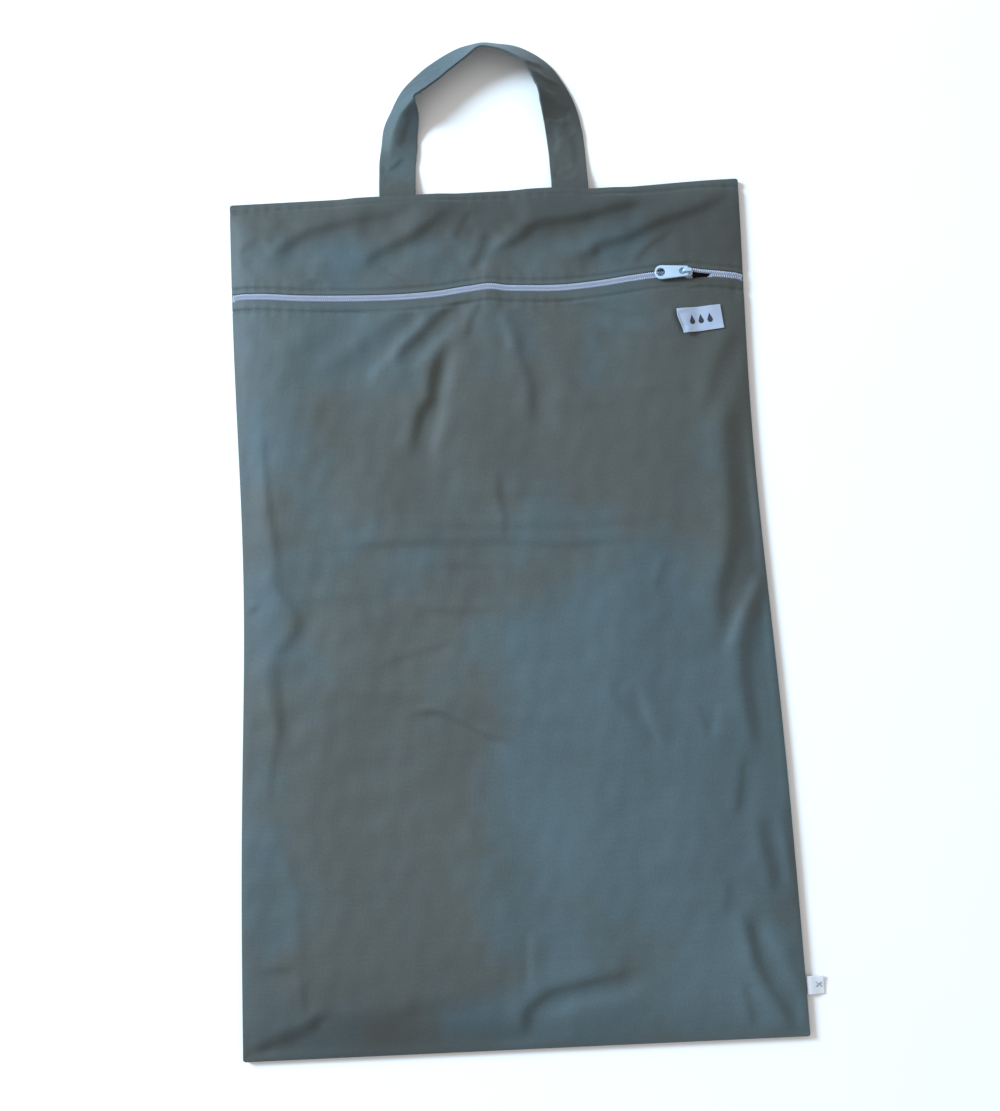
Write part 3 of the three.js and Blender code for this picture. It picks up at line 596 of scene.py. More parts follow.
def woven_cloth(name, green_shade, blue_shade, pitch, bump_depth):
    material, tree, shader = new_material(
        name, Roughness=0.58, IOR=1.48, Specular_IOR_Level=0.3,
        Sheen_Weight=0.12, Sheen_Roughness=0.45, Sheen_Tint=linear("#b4cbe0"),
    )
    place = add_node(tree, "ShaderNodeUVMap", {"uv_map": "cloth"}).outputs["UV"]
    solid_place = add_node(tree, "ShaderNodeTexCoord").outputs["Object"]
    weave = []
    for direction in ("X", "Y"):
        threads = add_node(
            tree, "ShaderNodeTexWave", {"bands_direction": direction, "wave_profile": "SIN"},
            Vector=place, Scale=WAVE_PERIOD / pitch, Distortion=0.4, Detail=1.0, Detail_Scale=2.0,
        )
        weave.append(threads.outputs["Fac"])
    crossing = add_node(tree, "ShaderNodeMath", {"operation": "MULTIPLY"}, _0=weave[0], _1=weave[1])
    patches = add_node(
        tree, "ShaderNodeTexNoise", Vector=solid_place, Scale=1 / PATCH_SIZE, Detail=4.0, Roughness=0.55,
    )
    # The tint attribute is painted reflection and shade: bluer where a patch faces the window, greener where
    # it faces away.
    tint = add_node(tree, "ShaderNodeAttribute", {"attribute_name": "tint"})
    spread = add_node(
        tree, "ShaderNodeMapRange", Value=patches.outputs["Fac"], From_Min=0.3, From_Max=0.7,
        To_Min=-0.35, To_Max=0.35,
    )
    share = add_node(
        tree, "ShaderNodeMath", {"operation": "ADD", "use_clamp": True},
        _0=tint.outputs["Fac"], _1=spread.outputs[0],
    )
    patch_edges = add_node(tree, "ShaderNodeMapRange", Value=share.outputs[0], From_Min=0.2, From_Max=0.74)
    hue = add_node(
        tree, "ShaderNodeMixRGB", Fac=patch_edges.outputs[0],
        Color1=linear(green_shade), Color2=linear(blue_shade),
    )
    streak_place = add_node(tree, "ShaderNodeMapping", Vector=place, Scale=(14, 260, 1))
    streaks = add_node(tree, "ShaderNodeTexNoise", Vector=streak_place.outputs[0], Scale=1.0, Detail=3.0)
    fleck = add_node(tree, "ShaderNodeTexNoise", Vector=place, Scale=0.5 / pitch, Detail=2.0)
    tones = []
    for source, low, high in (
        (streaks.outputs["Fac"], 0.98, 1.02), (fleck.outputs["Fac"], 0.93, 1.06),
        (crossing.outputs[0], 0.95, 1.04),
    ):
        tone = add_node(tree, "ShaderNodeMapRange", Value=source, To_Min=low, To_Max=high)
        if source is not crossing.outputs[0]:
            tone.inputs["From Min"].default_value = 0.3
            tone.inputs["From Max"].default_value = 0.7
        tones.append(tone.outputs[0])
    # The tone attribute is painted shade and painted light: the colour made darker or lighter in patches.
    painted_shading = add_node(tree, "ShaderNodeAttribute", {"attribute_name": "tone"})
    grain = tones[0]
    for factor in (tones[1], tones[2], painted_shading.outputs["Fac"]):
        both = add_node(tree, "ShaderNodeMath", {"operation": "MULTIPLY"}, _0=grain, _1=factor)
        grain = both.outputs[0]
    tone = add_node(tree, "ShaderNodeVectorMath", {"operation": "SCALE"}, _0=hue.outputs[0], Scale=grain)
    tree.links.new(tone.outputs[0], shader.inputs["Base Color"])
    relief = add_node(
        tree, "ShaderNodeBump", Height=crossing.outputs[0], Strength=0.5, Distance=bump_depth,
    )
    tree.links.new(relief.outputs["Normal"], shader.inputs["Normal"])
    return material


# The bluer grey is also the colour of the painted reflection, and the greener grey that of the painted shade.
slate_cloth = woven_cloth("laminated_polyester", "#4f5350", "#4c5c61", THREAD_PITCH, 0.12 * MM)
print("threads drawn", THREAD_PITCH / MM, "mm apart")

# %% [markdown]
# The cloth's colour carries painted light and shade in patches. The tint table paints the
# window's blue reflection on patches that face it and a greener painted shade on patches that face
# away. The tone table paints patches darker where shade falls, most along the top seam and the
# bottom, and lighter where light falls. Both tables are written into each sheet's points as
# attributes, tint and tone, and the material reads them.
# A painted picture would do the same, but a table stays tied to the cloth and is easy to change.

# %% Tint and tone: painted reflection, light and shade
# Each row is a patch: its middle, half width and half height in millimetres from the middle of the
# bag, and how much bluer (or lighter) it is. A negative amount is greener (or darker). Bluer is
# painted reflection and greener is painted shade; lighter and darker are painted light and shade.
PAINTED_REFLECTION_TINTS = [
    (100, -60, 110, 110, 0.5), (120, -200, 110, 110, 0.6), (30, -170, 70, 70, 0.3),
    (-182, 60, 18, 210, 0.15), (-140, 190, 50, 50, 0.3), (-110, 272, 70, 16, 0.3),
    (60, 268, 60, 14, 0.3), (0, -300, 110, 26, 0.5), (160, -290, 70, 50, 0.5),
    (-60, 120, 110, 70, -0.3), (80, 110, 90, 60, -0.3), (-110, -110, 60, 110, -0.3),
    (-90, -260, 80, 50, -0.3), (150, 190, 50, 60, -0.3), (160, 290, 60, 30, -0.3),
    (-20, 302, 220, 24, -0.25), (-50, 415, 45, 40, 0.8), (75, 395, 40, 80, -0.4),
    (-76, 350, 18, 30, 0.2),
]
BASE_TINT = 0.34
PAINTED_LIGHT_AND_SHADE_TONES = [
    (0, 300, 260, 34, -0.30), (110, 290, 110, 34, -0.10), (-190, 60, 26, 300, -0.15),
    (150, 262, 70, 50, -0.16), (-190, -250, 40, 70, -0.10),
    (-20, -40, 90, 70, 0.12), (0, -170, 130, 60, 0.10), (-120, -300, 140, 40, -0.24),
    (160, -275, 70, 60, 0.18), (186, -120, 25, 100, 0.14), (-55, 410, 50, 45, -0.20),
    (75, 395, 40, 70, -0.26), (-190, -170, 24, 140, -0.12),
]
PATCH_FALL = 1.5           # how fast a patch fades towards its edge


def patches_at(patches, base, x, y):
    total = np.full(x.shape, float(base))
    for across, up, half_width, half_height, amount in patches:
        away = ((x - across) / half_width) ** 2 + ((y - up) / half_height) ** 2
        total += amount * np.exp(-away * PATCH_FALL)
    return total


print(len(PAINTED_REFLECTION_TINTS), "patches of tint and", len(PAINTED_LIGHT_AND_SHADE_TONES), "of tone")

# %% [markdown]
# ## Laying a sheet
#
# Each piece of cloth starts as a flat grid. Its points are then laid over the piece's own surface,
# closer together near seams, where the shape changes fastest. Solidify gives the cloth its
# thickness and Bevel rounds the cut edges. A UV map in metres goes along, so that the weave
# follows the cloth and not the room.

# %% Sheet helper
COARSE_STEP = 1.15         # of the even step, because the fine parts take more than their share
PANEL_ROUND = 0.45         # radius of the cut edges
STRAP_ROUND = 0.55
TAPE_ROUND = 0.25
RIBBON_ROUND = 0.3


def steps_with_fine_parts(length, count, fine_places, fine_step=0.9, fine_reach=5.0):
    """count + 1 places from 0 to length, closer together around the fine places."""
    dense = np.linspace(0, length, 4000)
    coarse_step = length / count * COARSE_STEP
    extra = sum(np.exp(-(((dense - place) / fine_reach) ** 2)) for place in fine_places)
    density = 1 / coarse_step + np.minimum(extra, 1) * (1 / fine_step - 1 / coarse_step)
    total = np.concatenate(([0], np.cumsum((density[1:] + density[:-1]) / 2)))
    return np.interp(np.linspace(0, total[-1], count + 1), total, dense)


def share_of_width(column, columns):
    """Each column's share of the bag's width. The columns are closer together at the sides."""
    return steps_with_fine_parts(BAG_WIDTH, columns, (0, BAG_WIDTH))[column] / BAG_WIDTH


def point_array(mesh):
    co = np.empty(len(mesh.vertices) * 3)
    mesh.vertices.foreach_get("co", co)
    return co.reshape(-1, 3)


def select_only(piece):
    bpy.ops.object.select_all(action="DESELECT")
    piece.select_set(True)
    bpy.context.view_layer.objects.active = piece


def apply_modifiers(piece):
    select_only(piece)
    for modifier in list(piece.modifiers):
        bpy.ops.object.modifier_apply(modifier=modifier.name)


def lay_sheet(name, columns, rows, place, thickness, edge_round, material, up=1):
    """A grid laid over a surface, thickened downwards and with round edges.

    place(column, row) takes whole numbers and returns points and cloth coordinates in mm.
    """
    bpy.ops.object.select_all(action="DESELECT")
    bpy.ops.mesh.primitive_grid_add(x_subdivisions=columns, y_subdivisions=rows, size=1)
    piece = bpy.context.object
    piece.name = piece.data.name = name
    flat = point_array(piece.data)
    column = np.rint((flat[:, 0] + 0.5) * columns).astype(int)
    row = np.rint((flat[:, 1] + 0.5) * rows).astype(int)
    points, cloth = place(column, row)
    piece.data.vertices.foreach_set("co", (points * MM).ravel())
    corner = np.empty(len(piece.data.loops), dtype=np.int32)
    piece.data.loops.foreach_get("vertex_index", corner)
    cloth_map = piece.data.uv_layers[0]
    cloth_map.name = "cloth"
    cloth_map.data.foreach_set("uv", (cloth[corner] * MM).ravel())
    # The tint and tone attributes carry the painted reflection, light and shade.
    for attribute, patches, base in (("tint", PAINTED_REFLECTION_TINTS, BASE_TINT), ("tone", PAINTED_LIGHT_AND_SHADE_TONES, 1)):
        layer = piece.data.attributes.new(attribute, "FLOAT", "POINT")
        layer.data.foreach_set("value", patches_at(patches, base, points[:, 0], points[:, 1]))
    piece.data.update()
    normals = np.empty(len(piece.data.polygons) * 3)
    piece.data.polygons.foreach_get("normal", normals)
    if normals.reshape(-1, 3)[:, 2].mean() * up < 0:
        bpy.ops.object.mode_set(mode="EDIT")
        bpy.ops.mesh.select_all(action="SELECT")
        bpy.ops.mesh.flip_normals()
        bpy.ops.object.mode_set(mode="OBJECT")
    wall = piece.modifiers.new("thickness", "SOLIDIFY")
    wall.thickness = thickness * MM
    wall.offset = -1
    wall.use_even_offset = False
    rim = piece.modifiers.new("round edge", "BEVEL")
    rim.width = edge_round * MM
    rim.segments = 2
    rim.limit_method = "ANGLE"
    rim.angle_limit = math.radians(60)
    apply_modifiers(piece)
    bpy.ops.object.shade_smooth()
    piece.data.materials.append(material)
    print(name, "has", len(piece.data.polygons), "faces")
    return piece


def finish_piece(piece, body="bag", nodes=()):
    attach(piece, body)
    if nodes:
        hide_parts(*nodes)


# %% [markdown]
# ## Front panels
#
# The front is two pieces of cloth with the zip between them. Both are turned under along the zip
# and stitched beside it, closer above than below, and a third line of stitches runs 7 mm below the
# top edge. A line of stitches sinks into the cloth and gathers it a little, so the surface dips
# along it and puckers beside it.

# %% Stitch lines and puckers
UPPER_STITCH = 3.5         # from the turned edge above the zip to its line of stitches
LOWER_STITCH = 7.9         # the same below the zip
TOP_STITCH = 7.0           # from the top edge to its line of stitches
GROOVE_DEPTH = 0.85
GROOVE_WIDTH = 1.4
PUCKER_HEIGHT = 0.22
PUCKER_LENGTH = 9.0
PUCKER_REACH = 6.0
COIL_CLEAR = 0.3           # from a coil to the panel's turned edge


def groove(distance, x):
    """How far the cloth sinks at a distance from a line of stitches, with its puckers."""
    sunk = GROOVE_DEPTH * np.exp(-((distance / GROOVE_WIDTH) ** 2))
    wave = np.sin(2 * math.pi * x / PUCKER_LENGTH + 1.3 * np.sin(x / 23) + 0.7 * np.sin(x / 7.1))
    strength = 0.55 + 0.45 * np.sin(x / 31 + 1.0)
    pucker = PUCKER_HEIGHT * strength * wave * np.exp(-((distance / PUCKER_REACH) ** 2))
    return sunk + pucker


def panel_edge(share, side):
    """Distance from the zip's line to a panel's turned edge."""
    return coil_offset(share, side) + COIL_WIDTH + COIL_CLEAR


# %% [markdown]
# The lower panel hangs from its turned edge below the zip and runs down to the bottom seam. Its
# rows follow the zip's curve near the zip and straighten out further down.
# A grid that ignored the zip would meet it in steps, so the grid's last row is the edge itself.

# %% Lower front panel
ROWS_STRAIGHTEN = (10, 60)  # distances from the turned edge, over which they start to
LOWER_COLUMNS = 172
LOWER_ROWS = 236


def lower_panel(column, row):
    share = share_of_width(column, LOWER_COLUMNS)
    _, zip_y, _ = zip_at(share)
    edge = zip_y - panel_edge(share, -1)
    length = ZIP_Y + TOP
    up = steps_with_fine_parts(length, LOWER_ROWS, (0, length, length - LOWER_STITCH))[row]
    from_edge = length - up
    shrink = (edge + TOP) / length
    y = edge - from_edge * (1 + (shrink - 1) * smooth_step(from_edge, *ROWS_STRAIGHTEN) * from_edge / length)
    y = np.where(row == 0, -TOP, np.maximum(y, -TOP))
    x = across_bag(share, y)
    height = front_height(x, y) - groove(edge - y - LOWER_STITCH, x)
    return np.stack((x, y, height), axis=1), np.stack((x, y), axis=1)


front_lower = lay_sheet(
    "front_panel_lower", LOWER_COLUMNS, LOWER_ROWS, lower_panel, CLOTH, PANEL_ROUND, slate_cloth,
)
finish_piece(front_lower, nodes=["front_lower_panel"])

# %% [markdown]
# The upper panel runs from its own turned edge up to the top seam. Between its two lines of
# stitches the rows shift from the zip's curve to the top edge's.
# On the real bag it is a strip of its own. One sheet with a slit would be simpler, but the zip
# pulls on the two panels by different amounts, and each has its own turned edge.

# %% Upper front panel
UPPER_HELD = 12            # this far from either edge, the rows follow that edge
UPPER_COLUMNS = 172
UPPER_ROWS = 58


def upper_panel(column, row):
    share = share_of_width(column, UPPER_COLUMNS)
    _, zip_y, _ = zip_at(share)
    edge = zip_y + panel_edge(share, 1)
    length = TOP - ZIP_Y
    fine = (0, UPPER_STITCH, length - TOP_STITCH, length)
    up = steps_with_fine_parts(length, UPPER_ROWS, fine, fine_step=1.0, fine_reach=4.0)[row]
    rise = top_edge(across_bag(share, TOP)) - edge - length
    y = edge + up + rise * smooth_step(up, UPPER_HELD, length - UPPER_HELD)
    x = across_bag(share, y)
    sunk = groove(y - edge - UPPER_STITCH, x) + groove(to_end(x, y) - TOP_STITCH, x)
    return np.stack((x, y, front_height(x, y) - sunk), axis=1), np.stack((x, y), axis=1)


front_upper = lay_sheet(
    "front_panel_upper", UPPER_COLUMNS, UPPER_ROWS, upper_panel, CLOTH, PANEL_ROUND, slate_cloth,
)
finish_piece(front_upper, nodes=["front_upper_panel"])

# %% [markdown]
# ## Back panel
#
# The back lies on the floor and only its edges lift to the seam. Its underside has to stay on the
# floor, so the small unevenness only ever lifts it.
# A flat slab would do for this view, but the bag is also looked at from its sides.

# %% Back panel
BACK_COLUMNS = 110
BACK_ROWS = 160
BACK_DIP_START = 200       # from here up, the rows follow the top edge's dip
BACK_WAVES = 0.5           # the back is half as uneven as the front
BACK_HIGHEST = 0.8
BACK_CALM = (4, 30)


def back_surface(column, row):
    share = share_of_width(column, BACK_COLUMNS)
    y = steps_with_fine_parts(BAG_HEIGHT, BACK_ROWS, (0, BAG_HEIGHT))[row] - TOP
    y = y - (TOP - top_edge(across_bag(share, y))) * smooth_step(y, BACK_DIP_START, TOP)
    x = across_bag(share, y)
    inside = to_edge(x, y)
    lift = SEAM_LIFT * np.clip(1 - inside / SEAM_LIFT_REACH, 0, 1) ** 2
    uneven = np.clip(unevenness(x * 1.4, y * 1.3) * BACK_WAVES, 0, BACK_HIGHEST)
    uneven = uneven * smooth_step(inside, *BACK_CALM)
    return np.stack((x, y, lift + uneven + CLOTH), axis=1), np.stack((x, y), axis=1)


back = lay_sheet(
    "back_panel_cloth", BACK_COLUMNS, BACK_ROWS, back_surface, CLOTH, PANEL_ROUND, slate_cloth,
)
finish_piece(back, nodes=["back_panel"])

# %% [markdown]
# ## Strap
#
# The strap is a strip folded in four and pressed flat. It leaves the top seam as two flat legs and
# stands up on its inner edge round the arch, because a flat strip can't turn a corner in its own
# plane. Each row below is one section: where its outer edge lies, how steeply it rises inwards up
# to a crease and beyond it, and how the section is turned.
# A curve with a flat section would be quicker, but it keeps one section all the way round, and
# this strap leans, turns and creases on its way.

# %% Strap
STRAP_SECTIONS = np.array([
    # place, across, up, lean, ridge, past, sweep
    (0, -1.000, 0.024, 0, 0.45, 0, 0), (1, -0.997, 0.130, 0, 0.45, 0, 0),
    (2, -0.988, 0.240, 4, 0.30, -1, 0), (3, -0.957, 0.350, 18, 0.31, -7, -3),
    (4, -0.927, 0.445, 35, 0.38, -15, 0), (5, -0.896, 0.508, 41, 0.52, -8, 19),
    (6, -0.860, 0.560, 42, 1.00, 16, 36), (7, -0.793, 0.643, 44, 1.00, 16, 21),
    (8, -0.707, 0.726, 43, 1.00, 16, 7), (9, -0.573, 0.813, 40, 1.00, 16, 1),
    (10, -0.400, 0.895, 41, 1.00, 16, -4), (11, -0.200, 0.965, 45, 1.00, 16, -4),
    (12, 0.010, 0.999, 55, 1.00, 16, 0), (13, 0.200, 0.990, 53, 1.00, 16, 0),
    (14, 0.390, 0.958, 50, 1.00, 16, 0), (15, 0.555, 0.901, 46, 1.00, 16, 0),
    (16, 0.690, 0.818, 41, 1.00, 16, 0), (17, 0.790, 0.722, 35, 1.00, 16, 0),
    (18, 0.868, 0.624, 24, 1.00, 16, 0), (19, 0.925, 0.525, 13, 1.00, 12, 0),
    (20, 0.962, 0.416, 4, 1.00, 6, 0), (21, 0.982, 0.300, 0, 1.00, 0, 0),
    (22, 0.990, 0.170, 0, 1.00, 0, 0), (23, 0.994, 0.024, 0, 1.00, 0, 0),
], dtype=float)
STRAP_COLUMNS = 24
STRAP_ROWS = 260
TUCK_ROWS = 8              # rows inside the seam at each end
LAST_SECTION = len(STRAP_SECTIONS) - 1
STRAP_RIPPLE = 0.22
STRAP_REST = 0.6           # the creased strap touches the floor only here and there
LEAST_REST = 0.1
RIPPLE_LENGTH = 4.1
RIPPLE_DRIFT = 23
RIPPLE_SLANT = 9
RIPPLE_SWELL = 41
RIPPLE_FADE = 6            # the seam holds the strap flat this far out
HEADING_STEP = 0.05        # in sections, to find the outer edge's direction
LEG_SECTIONS = (1.0, 2.2)  # the legs are straight up to the first, and the arch from the second
PROFILE_STEPS = 96
STEEPEST_FALL = -16        # degrees, beyond the crease
NO_RIDGE = 0.98            # a section whose crease lies beyond this share has none
CREASE_SHARE = 0.07        # share of the strap's width over which its crease turns


def strap_edge(place):
    x = STRAP_SPREAD * curve_through(STRAP_SECTIONS, place, 1)
    y = TOP + STRAP_RISE * curve_through(STRAP_SECTIONS, place, 2)
    return x, y


def strap_length(rows=STRAP_ROWS - 2 * TUCK_ROWS):
    """Distance along the strap's outer edge at each free row."""
    x, y = strap_edge(np.linspace(0, LAST_SECTION, rows + 1))
    return np.concatenate(([0], np.cumsum(np.hypot(np.diff(x), np.diff(y)))))


# Creases in the strap, in millimetres from its outer edge and along it from the seam, on the left
# leg and then on the right one. Here a fold drops towards the strap's inner edge.
LEFT_CREASES = [
    Fold(1.0, 1.6, 5, [(3, 24), (9, 20), (15, 27), (18, 36)]),
    Fold(1.4, 3.0, 7, [(13, 40), (17, 52), (23, 66)]),
    Fold(0.7, 1.2, 4, [(4, 8), (14, 10), (24, 6)]),
    Fold(0.7, 1.2, 4, [(3, 100), (14, 108), (24, 104)]),
    Fold(-0.7, 1.4, 4, [(2, 84), (12, 94), (26, 92)]),
    Fold(0.8, 1.2, 4, [(6, 116), (14, 122), (22, 118)]),
]
RIGHT_CREASES = [
    Fold(2.2, 1.9, 6, [(27, 84), (20, 74), (12, 66), (4, 63)]),
    Fold(-1.2, 1.8, 5, [(27, 96), (20, 86), (11, 79)]),
    Fold(2.0, 1.6, 5, [(27, 106), (21, 96), (14, 90), (5, 88)]),
    Fold(1.4, 1.3, 4, [(26, 119), (19, 111), (9, 108)]),
    Fold(1.1, 2.4, 7, [(25, 26), (20, 38), (22, 54)]),
    Fold(-1.0, 2.6, 7, [(10, 14), (8, 30), (11, 44)]),
    Fold(1.6, 1.1, 4, [(28, 6), (18, 4), (6, 8)]),
    Fold(1.2, 1.1, 4, [(24, 12), (16, 13), (10, 17)]),
    Fold(1.0, 2.0, 5, [(3, 46), (9, 52), (16, 50)]),
    Fold(1.6, 1.5, 5, [(26, 62), (18, 57), (11, 60)]),
]


CREASES_FALL = (1, 0.2)    # towards the inner edge, and a little onwards


def strap_creases(across, along, length):
    total = np.zeros(across.shape)
    for crease in LEFT_CREASES:
        total += fold_height(crease, across, along, away=CREASES_FALL)
    for crease in RIGHT_CREASES:
        total += fold_height(crease, across, length - along, away=CREASES_FALL)
    return total


def strap_angle(place, column, lowest=0):
    return np.radians(np.maximum(curve_through(STRAP_SECTIONS, place, column), lowest))


def strap_heading(place):
    """The direction of the strap's outer edge, straight in both legs."""
    ahead = strap_edge(np.clip(place + HEADING_STEP, 0, LAST_SECTION))
    behind = strap_edge(np.clip(place - HEADING_STEP, 0, LAST_SECTION))
    heading = np.arctan2(ahead[1] - behind[1], ahead[0] - behind[0])
    leg = 1 - smooth_step(np.minimum(place, LAST_SECTION - place), *LEG_SECTIONS)
    straight = np.where(place < LAST_SECTION / 2, math.pi / 2, -math.pi / 2)
    sweep = np.radians(curve_through(STRAP_SECTIONS, place, 6))
    return heading + (straight - heading) * leg + sweep


def strap_profile(place, column):
    """How far in and up a point of its section lies, and the strap's slope there."""
    lean, past = strap_angle(place, 3), strap_angle(place, 5, lowest=STEEPEST_FALL)
    ridge = np.minimum(curve_through(STRAP_SECTIONS, place, 4), 1)[:, None]
    fine = np.linspace(0, 1, PROFILE_STEPS + 1)
    turned = smooth_step(fine[None, :], ridge - CREASE_SHARE, ridge + CREASE_SHARE)
    turned = np.where(ridge > NO_RIDGE, 0, turned)
    slope = lean[:, None] * (1 - turned) + past[:, None] * turned
    step = STRAP_WIDTH / PROFILE_STEPS
    inward = np.cumsum(np.cos(slope), axis=1) * step - np.cos(slope[:, :1]) * step
    upward = np.cumsum(np.sin(slope), axis=1) * step - np.sin(slope[:, :1]) * step
    pick = column * PROFILE_STEPS // STRAP_COLUMNS
    rows = np.arange(len(place))
    return inward[rows, pick], upward[rows, pick], slope[rows, pick]


def strap_ripple(across, along, length):
    """How far the creased strap stands off its smooth shape."""
    phase = along / RIPPLE_LENGTH + 2 * np.sin(along / RIPPLE_DRIFT) + across / RIPPLE_SLANT
    ripple = STRAP_RIPPLE * np.sin(phase) * np.sin(along / RIPPLE_SWELL)
    ripple = ripple + strap_creases(across, along, length)
    ripple = ripple * smooth_step(np.minimum(along, length - along), 0, RIPPLE_FADE)
    return np.maximum(ripple + STRAP_REST, LEAST_REST)


def strap_surface(column, row):
    free_rows = STRAP_ROWS - 2 * TUCK_ROWS
    place = np.clip((row - TUCK_ROWS) / free_rows, 0, 1) * LAST_SECTION
    tucked = np.maximum(TUCK_ROWS - row, row - (STRAP_ROWS - TUCK_ROWS)) / TUCK_ROWS
    edge_x, edge_y = strap_edge(place)
    edge_y = np.where(tucked > 0, edge_y - np.clip(tucked, 0, 1) * (edge_y - TOP + STRAP_TUCK), edge_y)
    seam_height = SEAM_LIFT + CLOTH + SEAM_GAP
    base = seam_height * (1 - smooth_step(np.maximum(edge_y - TOP, 0), 0, STRAP_SETTLE))
    lengths = strap_length()
    along = np.interp(row - TUCK_ROWS, np.arange(len(lengths)), lengths)
    across = column * STRAP_WIDTH / STRAP_COLUMNS
    inward, upward, slope = strap_profile(place, column)
    stand_off = STRAP_THICKNESS + strap_ripple(across, along, lengths[-1])
    inner = inward - stand_off * np.sin(slope)
    rise = upward + stand_off * np.cos(slope)
    heading = strap_heading(place)
    x = edge_x + np.sin(heading) * inner
    y = edge_y - np.cos(heading) * inner
    cloth = np.stack((across, along + STRAP_TUCK), axis=1)
    return np.stack((x, y, base + rise), axis=1), cloth


strap = lay_sheet(
    "hanging_strap", STRAP_COLUMNS, STRAP_ROWS, strap_surface, STRAP_THICKNESS, STRAP_ROUND, slate_cloth,
)
finish_piece(strap, nodes=["handle_strap"])

# %% [markdown]
# ## Stitches
#
# One stitch is a short thread with both ends bent down into the cloth. It is modelled once from a
# six-sided cylinder, and copies of it are then set along each line, turned to follow it.
# Hundreds of small objects would be slow to handle, so each line of stitches is one joined mesh.

# %% Stitch helper
STITCH_LENGTH = 2.6
STITCH_STEP = 3.1
THREAD_RADIUS = 0.19
STITCH_TAPER = 0.35        # how much thinner its ends are
STITCH_BEND = 0.42         # how far its ends bend down into the cloth


def model_stitch():
    """The points and faces of one stitch, along X, in millimetres."""
    bpy.ops.object.select_all(action="DESELECT")
    bpy.ops.mesh.primitive_cylinder_add(
        vertices=6, radius=THREAD_RADIUS, depth=STITCH_LENGTH, rotation=(0, math.pi / 2, 0),
    )
    one = bpy.context.object
    bpy.ops.object.transform_apply(location=False, rotation=True, scale=False)
    bpy.ops.object.mode_set(mode="EDIT")
    for cut in (STITCH_LENGTH / 4, -STITCH_LENGTH / 4, 0):
        bpy.ops.mesh.select_all(action="SELECT")
        bpy.ops.mesh.bisect(plane_co=(cut, 0, 0), plane_no=(1, 0, 0))
    bpy.ops.object.mode_set(mode="OBJECT")
    points = point_array(one.data)
    end = np.abs(points[:, 0]) / (STITCH_LENGTH / 2)
    points[:, 1:] *= (1 - STITCH_TAPER * end ** 2)[:, None]
    points[:, 2] -= STITCH_BEND * end ** 3
    faces = [list(face.vertices) for face in one.data.polygons]
    bpy.data.objects.remove(one)
    return points, faces


def stitch_line(name, line, material):
    """Stitches along points in mm, one joined mesh."""
    points, faces = model_stitch()
    lengths = np.concatenate(([0], np.cumsum(np.linalg.norm(np.diff(line, axis=0), axis=1))))
    middles = np.arange(STITCH_STEP / 2, lengths[-1], STITCH_STEP)
    all_points, all_faces = [], []
    for middle in middles:
        here, before, after = (
            np.array([np.interp(middle + shift, lengths, line[:, axis]) for axis in range(3)])
            for shift in (0, -STITCH_LENGTH / 2, STITCH_LENGTH / 2)
        )
        along = (after - before) / np.linalg.norm(after - before)
        beside = np.cross((0, 0, 1), along)
        beside /= np.linalg.norm(beside)
        above = np.cross(along, beside)
        start = len(all_points) * len(points)
        all_points.append(here + points @ np.stack((along, beside, above)))
        all_faces.extend([[corner + start for corner in face] for face in faces])
    mesh = bpy.data.meshes.new(name)
    mesh.from_pydata((np.concatenate(all_points) * MM).tolist(), [], all_faces)
    piece = bpy.data.objects.new(name, mesh)
    bpy.context.scene.collection.objects.link(piece)
    mesh.shade_smooth()
    mesh.materials.append(material)
    print(name, "has", len(middles), "stitches")
    return piece


# %% [markdown]
# The thread is spun polyester, a little darker and rougher than the cloth, with a twist of 0.5 mm
# a turn. Three lines of stitches follow the top edge and both sides of the zip.

# %% Thread material and the three lines
thread, thread_tree, thread_shader = new_material(
    "slate_thread", Roughness=0.7, IOR=1.5, Sheen_Weight=0.3, Sheen_Roughness=0.5,
)
twist_place = add_node(thread_tree, "ShaderNodeTexCoord").outputs["Object"]
twist = add_node(
    thread_tree, "ShaderNodeTexWave", {"bands_direction": "DIAGONAL"},
    Vector=twist_place, Scale=WAVE_PERIOD / (0.5 * MM),
)
ply = add_node(
    thread_tree, "ShaderNodeMixRGB", Fac=twist.outputs["Fac"],
    Color1=linear("#444e51"), Color2=linear("#4c575a"),
)
thread_tree.links.new(ply.outputs[0], thread_shader.inputs["Base Color"])

THREAD_LIFT = -0.07         # the stitches are pulled into the cloth
STITCHED_SHARES = (0.006, 0.994)  # of the bag's width, clear of the side seams
LINE_POINTS = 700


def line_on_front(offset_from_zip=None, below_top=None):
    share = np.linspace(*STITCHED_SHARES, LINE_POINTS)
    if below_top is not None:
        y = top_edge(across_bag(share, TOP)) - below_top
    else:
        side = 1 if offset_from_zip > 0 else -1
        y = zip_at(share)[1] + side * panel_edge(share, side) + offset_from_zip
    x = across_bag(share, y)
    height = front_height(x, y) - groove(0, x) + THREAD_RADIUS + THREAD_LIFT
    return np.stack((x, y, height), axis=1)


top_stitches = stitch_line("stitches_top_seam", line_on_front(below_top=TOP_STITCH), thread)
upper_stitches = stitch_line("stitches_above_zip", line_on_front(UPPER_STITCH), thread)
lower_stitches = stitch_line("stitches_below_zip", line_on_front(-LOWER_STITCH), thread)
for piece in (top_stitches, upper_stitches, lower_stitches):
    finish_piece(piece)

# %% [markdown]
# ## Zip
#
# A coil zip has two nylon monofilaments, each wound into a flattened spiral and sewn along the
# edge of a woven tape. Closed, the turns of one coil sit between those of the other. The turns are
# 1.45 mm apart. Each coil is one curve with a round section, made a mesh at the end.

# %% Zip materials
# Nylon monofilament: smooth, slightly see-through white that picks up the light on each turn.
nylon, *_ = mottled_material(
    "nylon_coil", "#b0b9cd", "#bfc8d8", 1 / (18 * MM),
    Roughness=0.38, IOR=1.53, Subsurface_Weight=0.15, Subsurface_Scale=0.001,
)


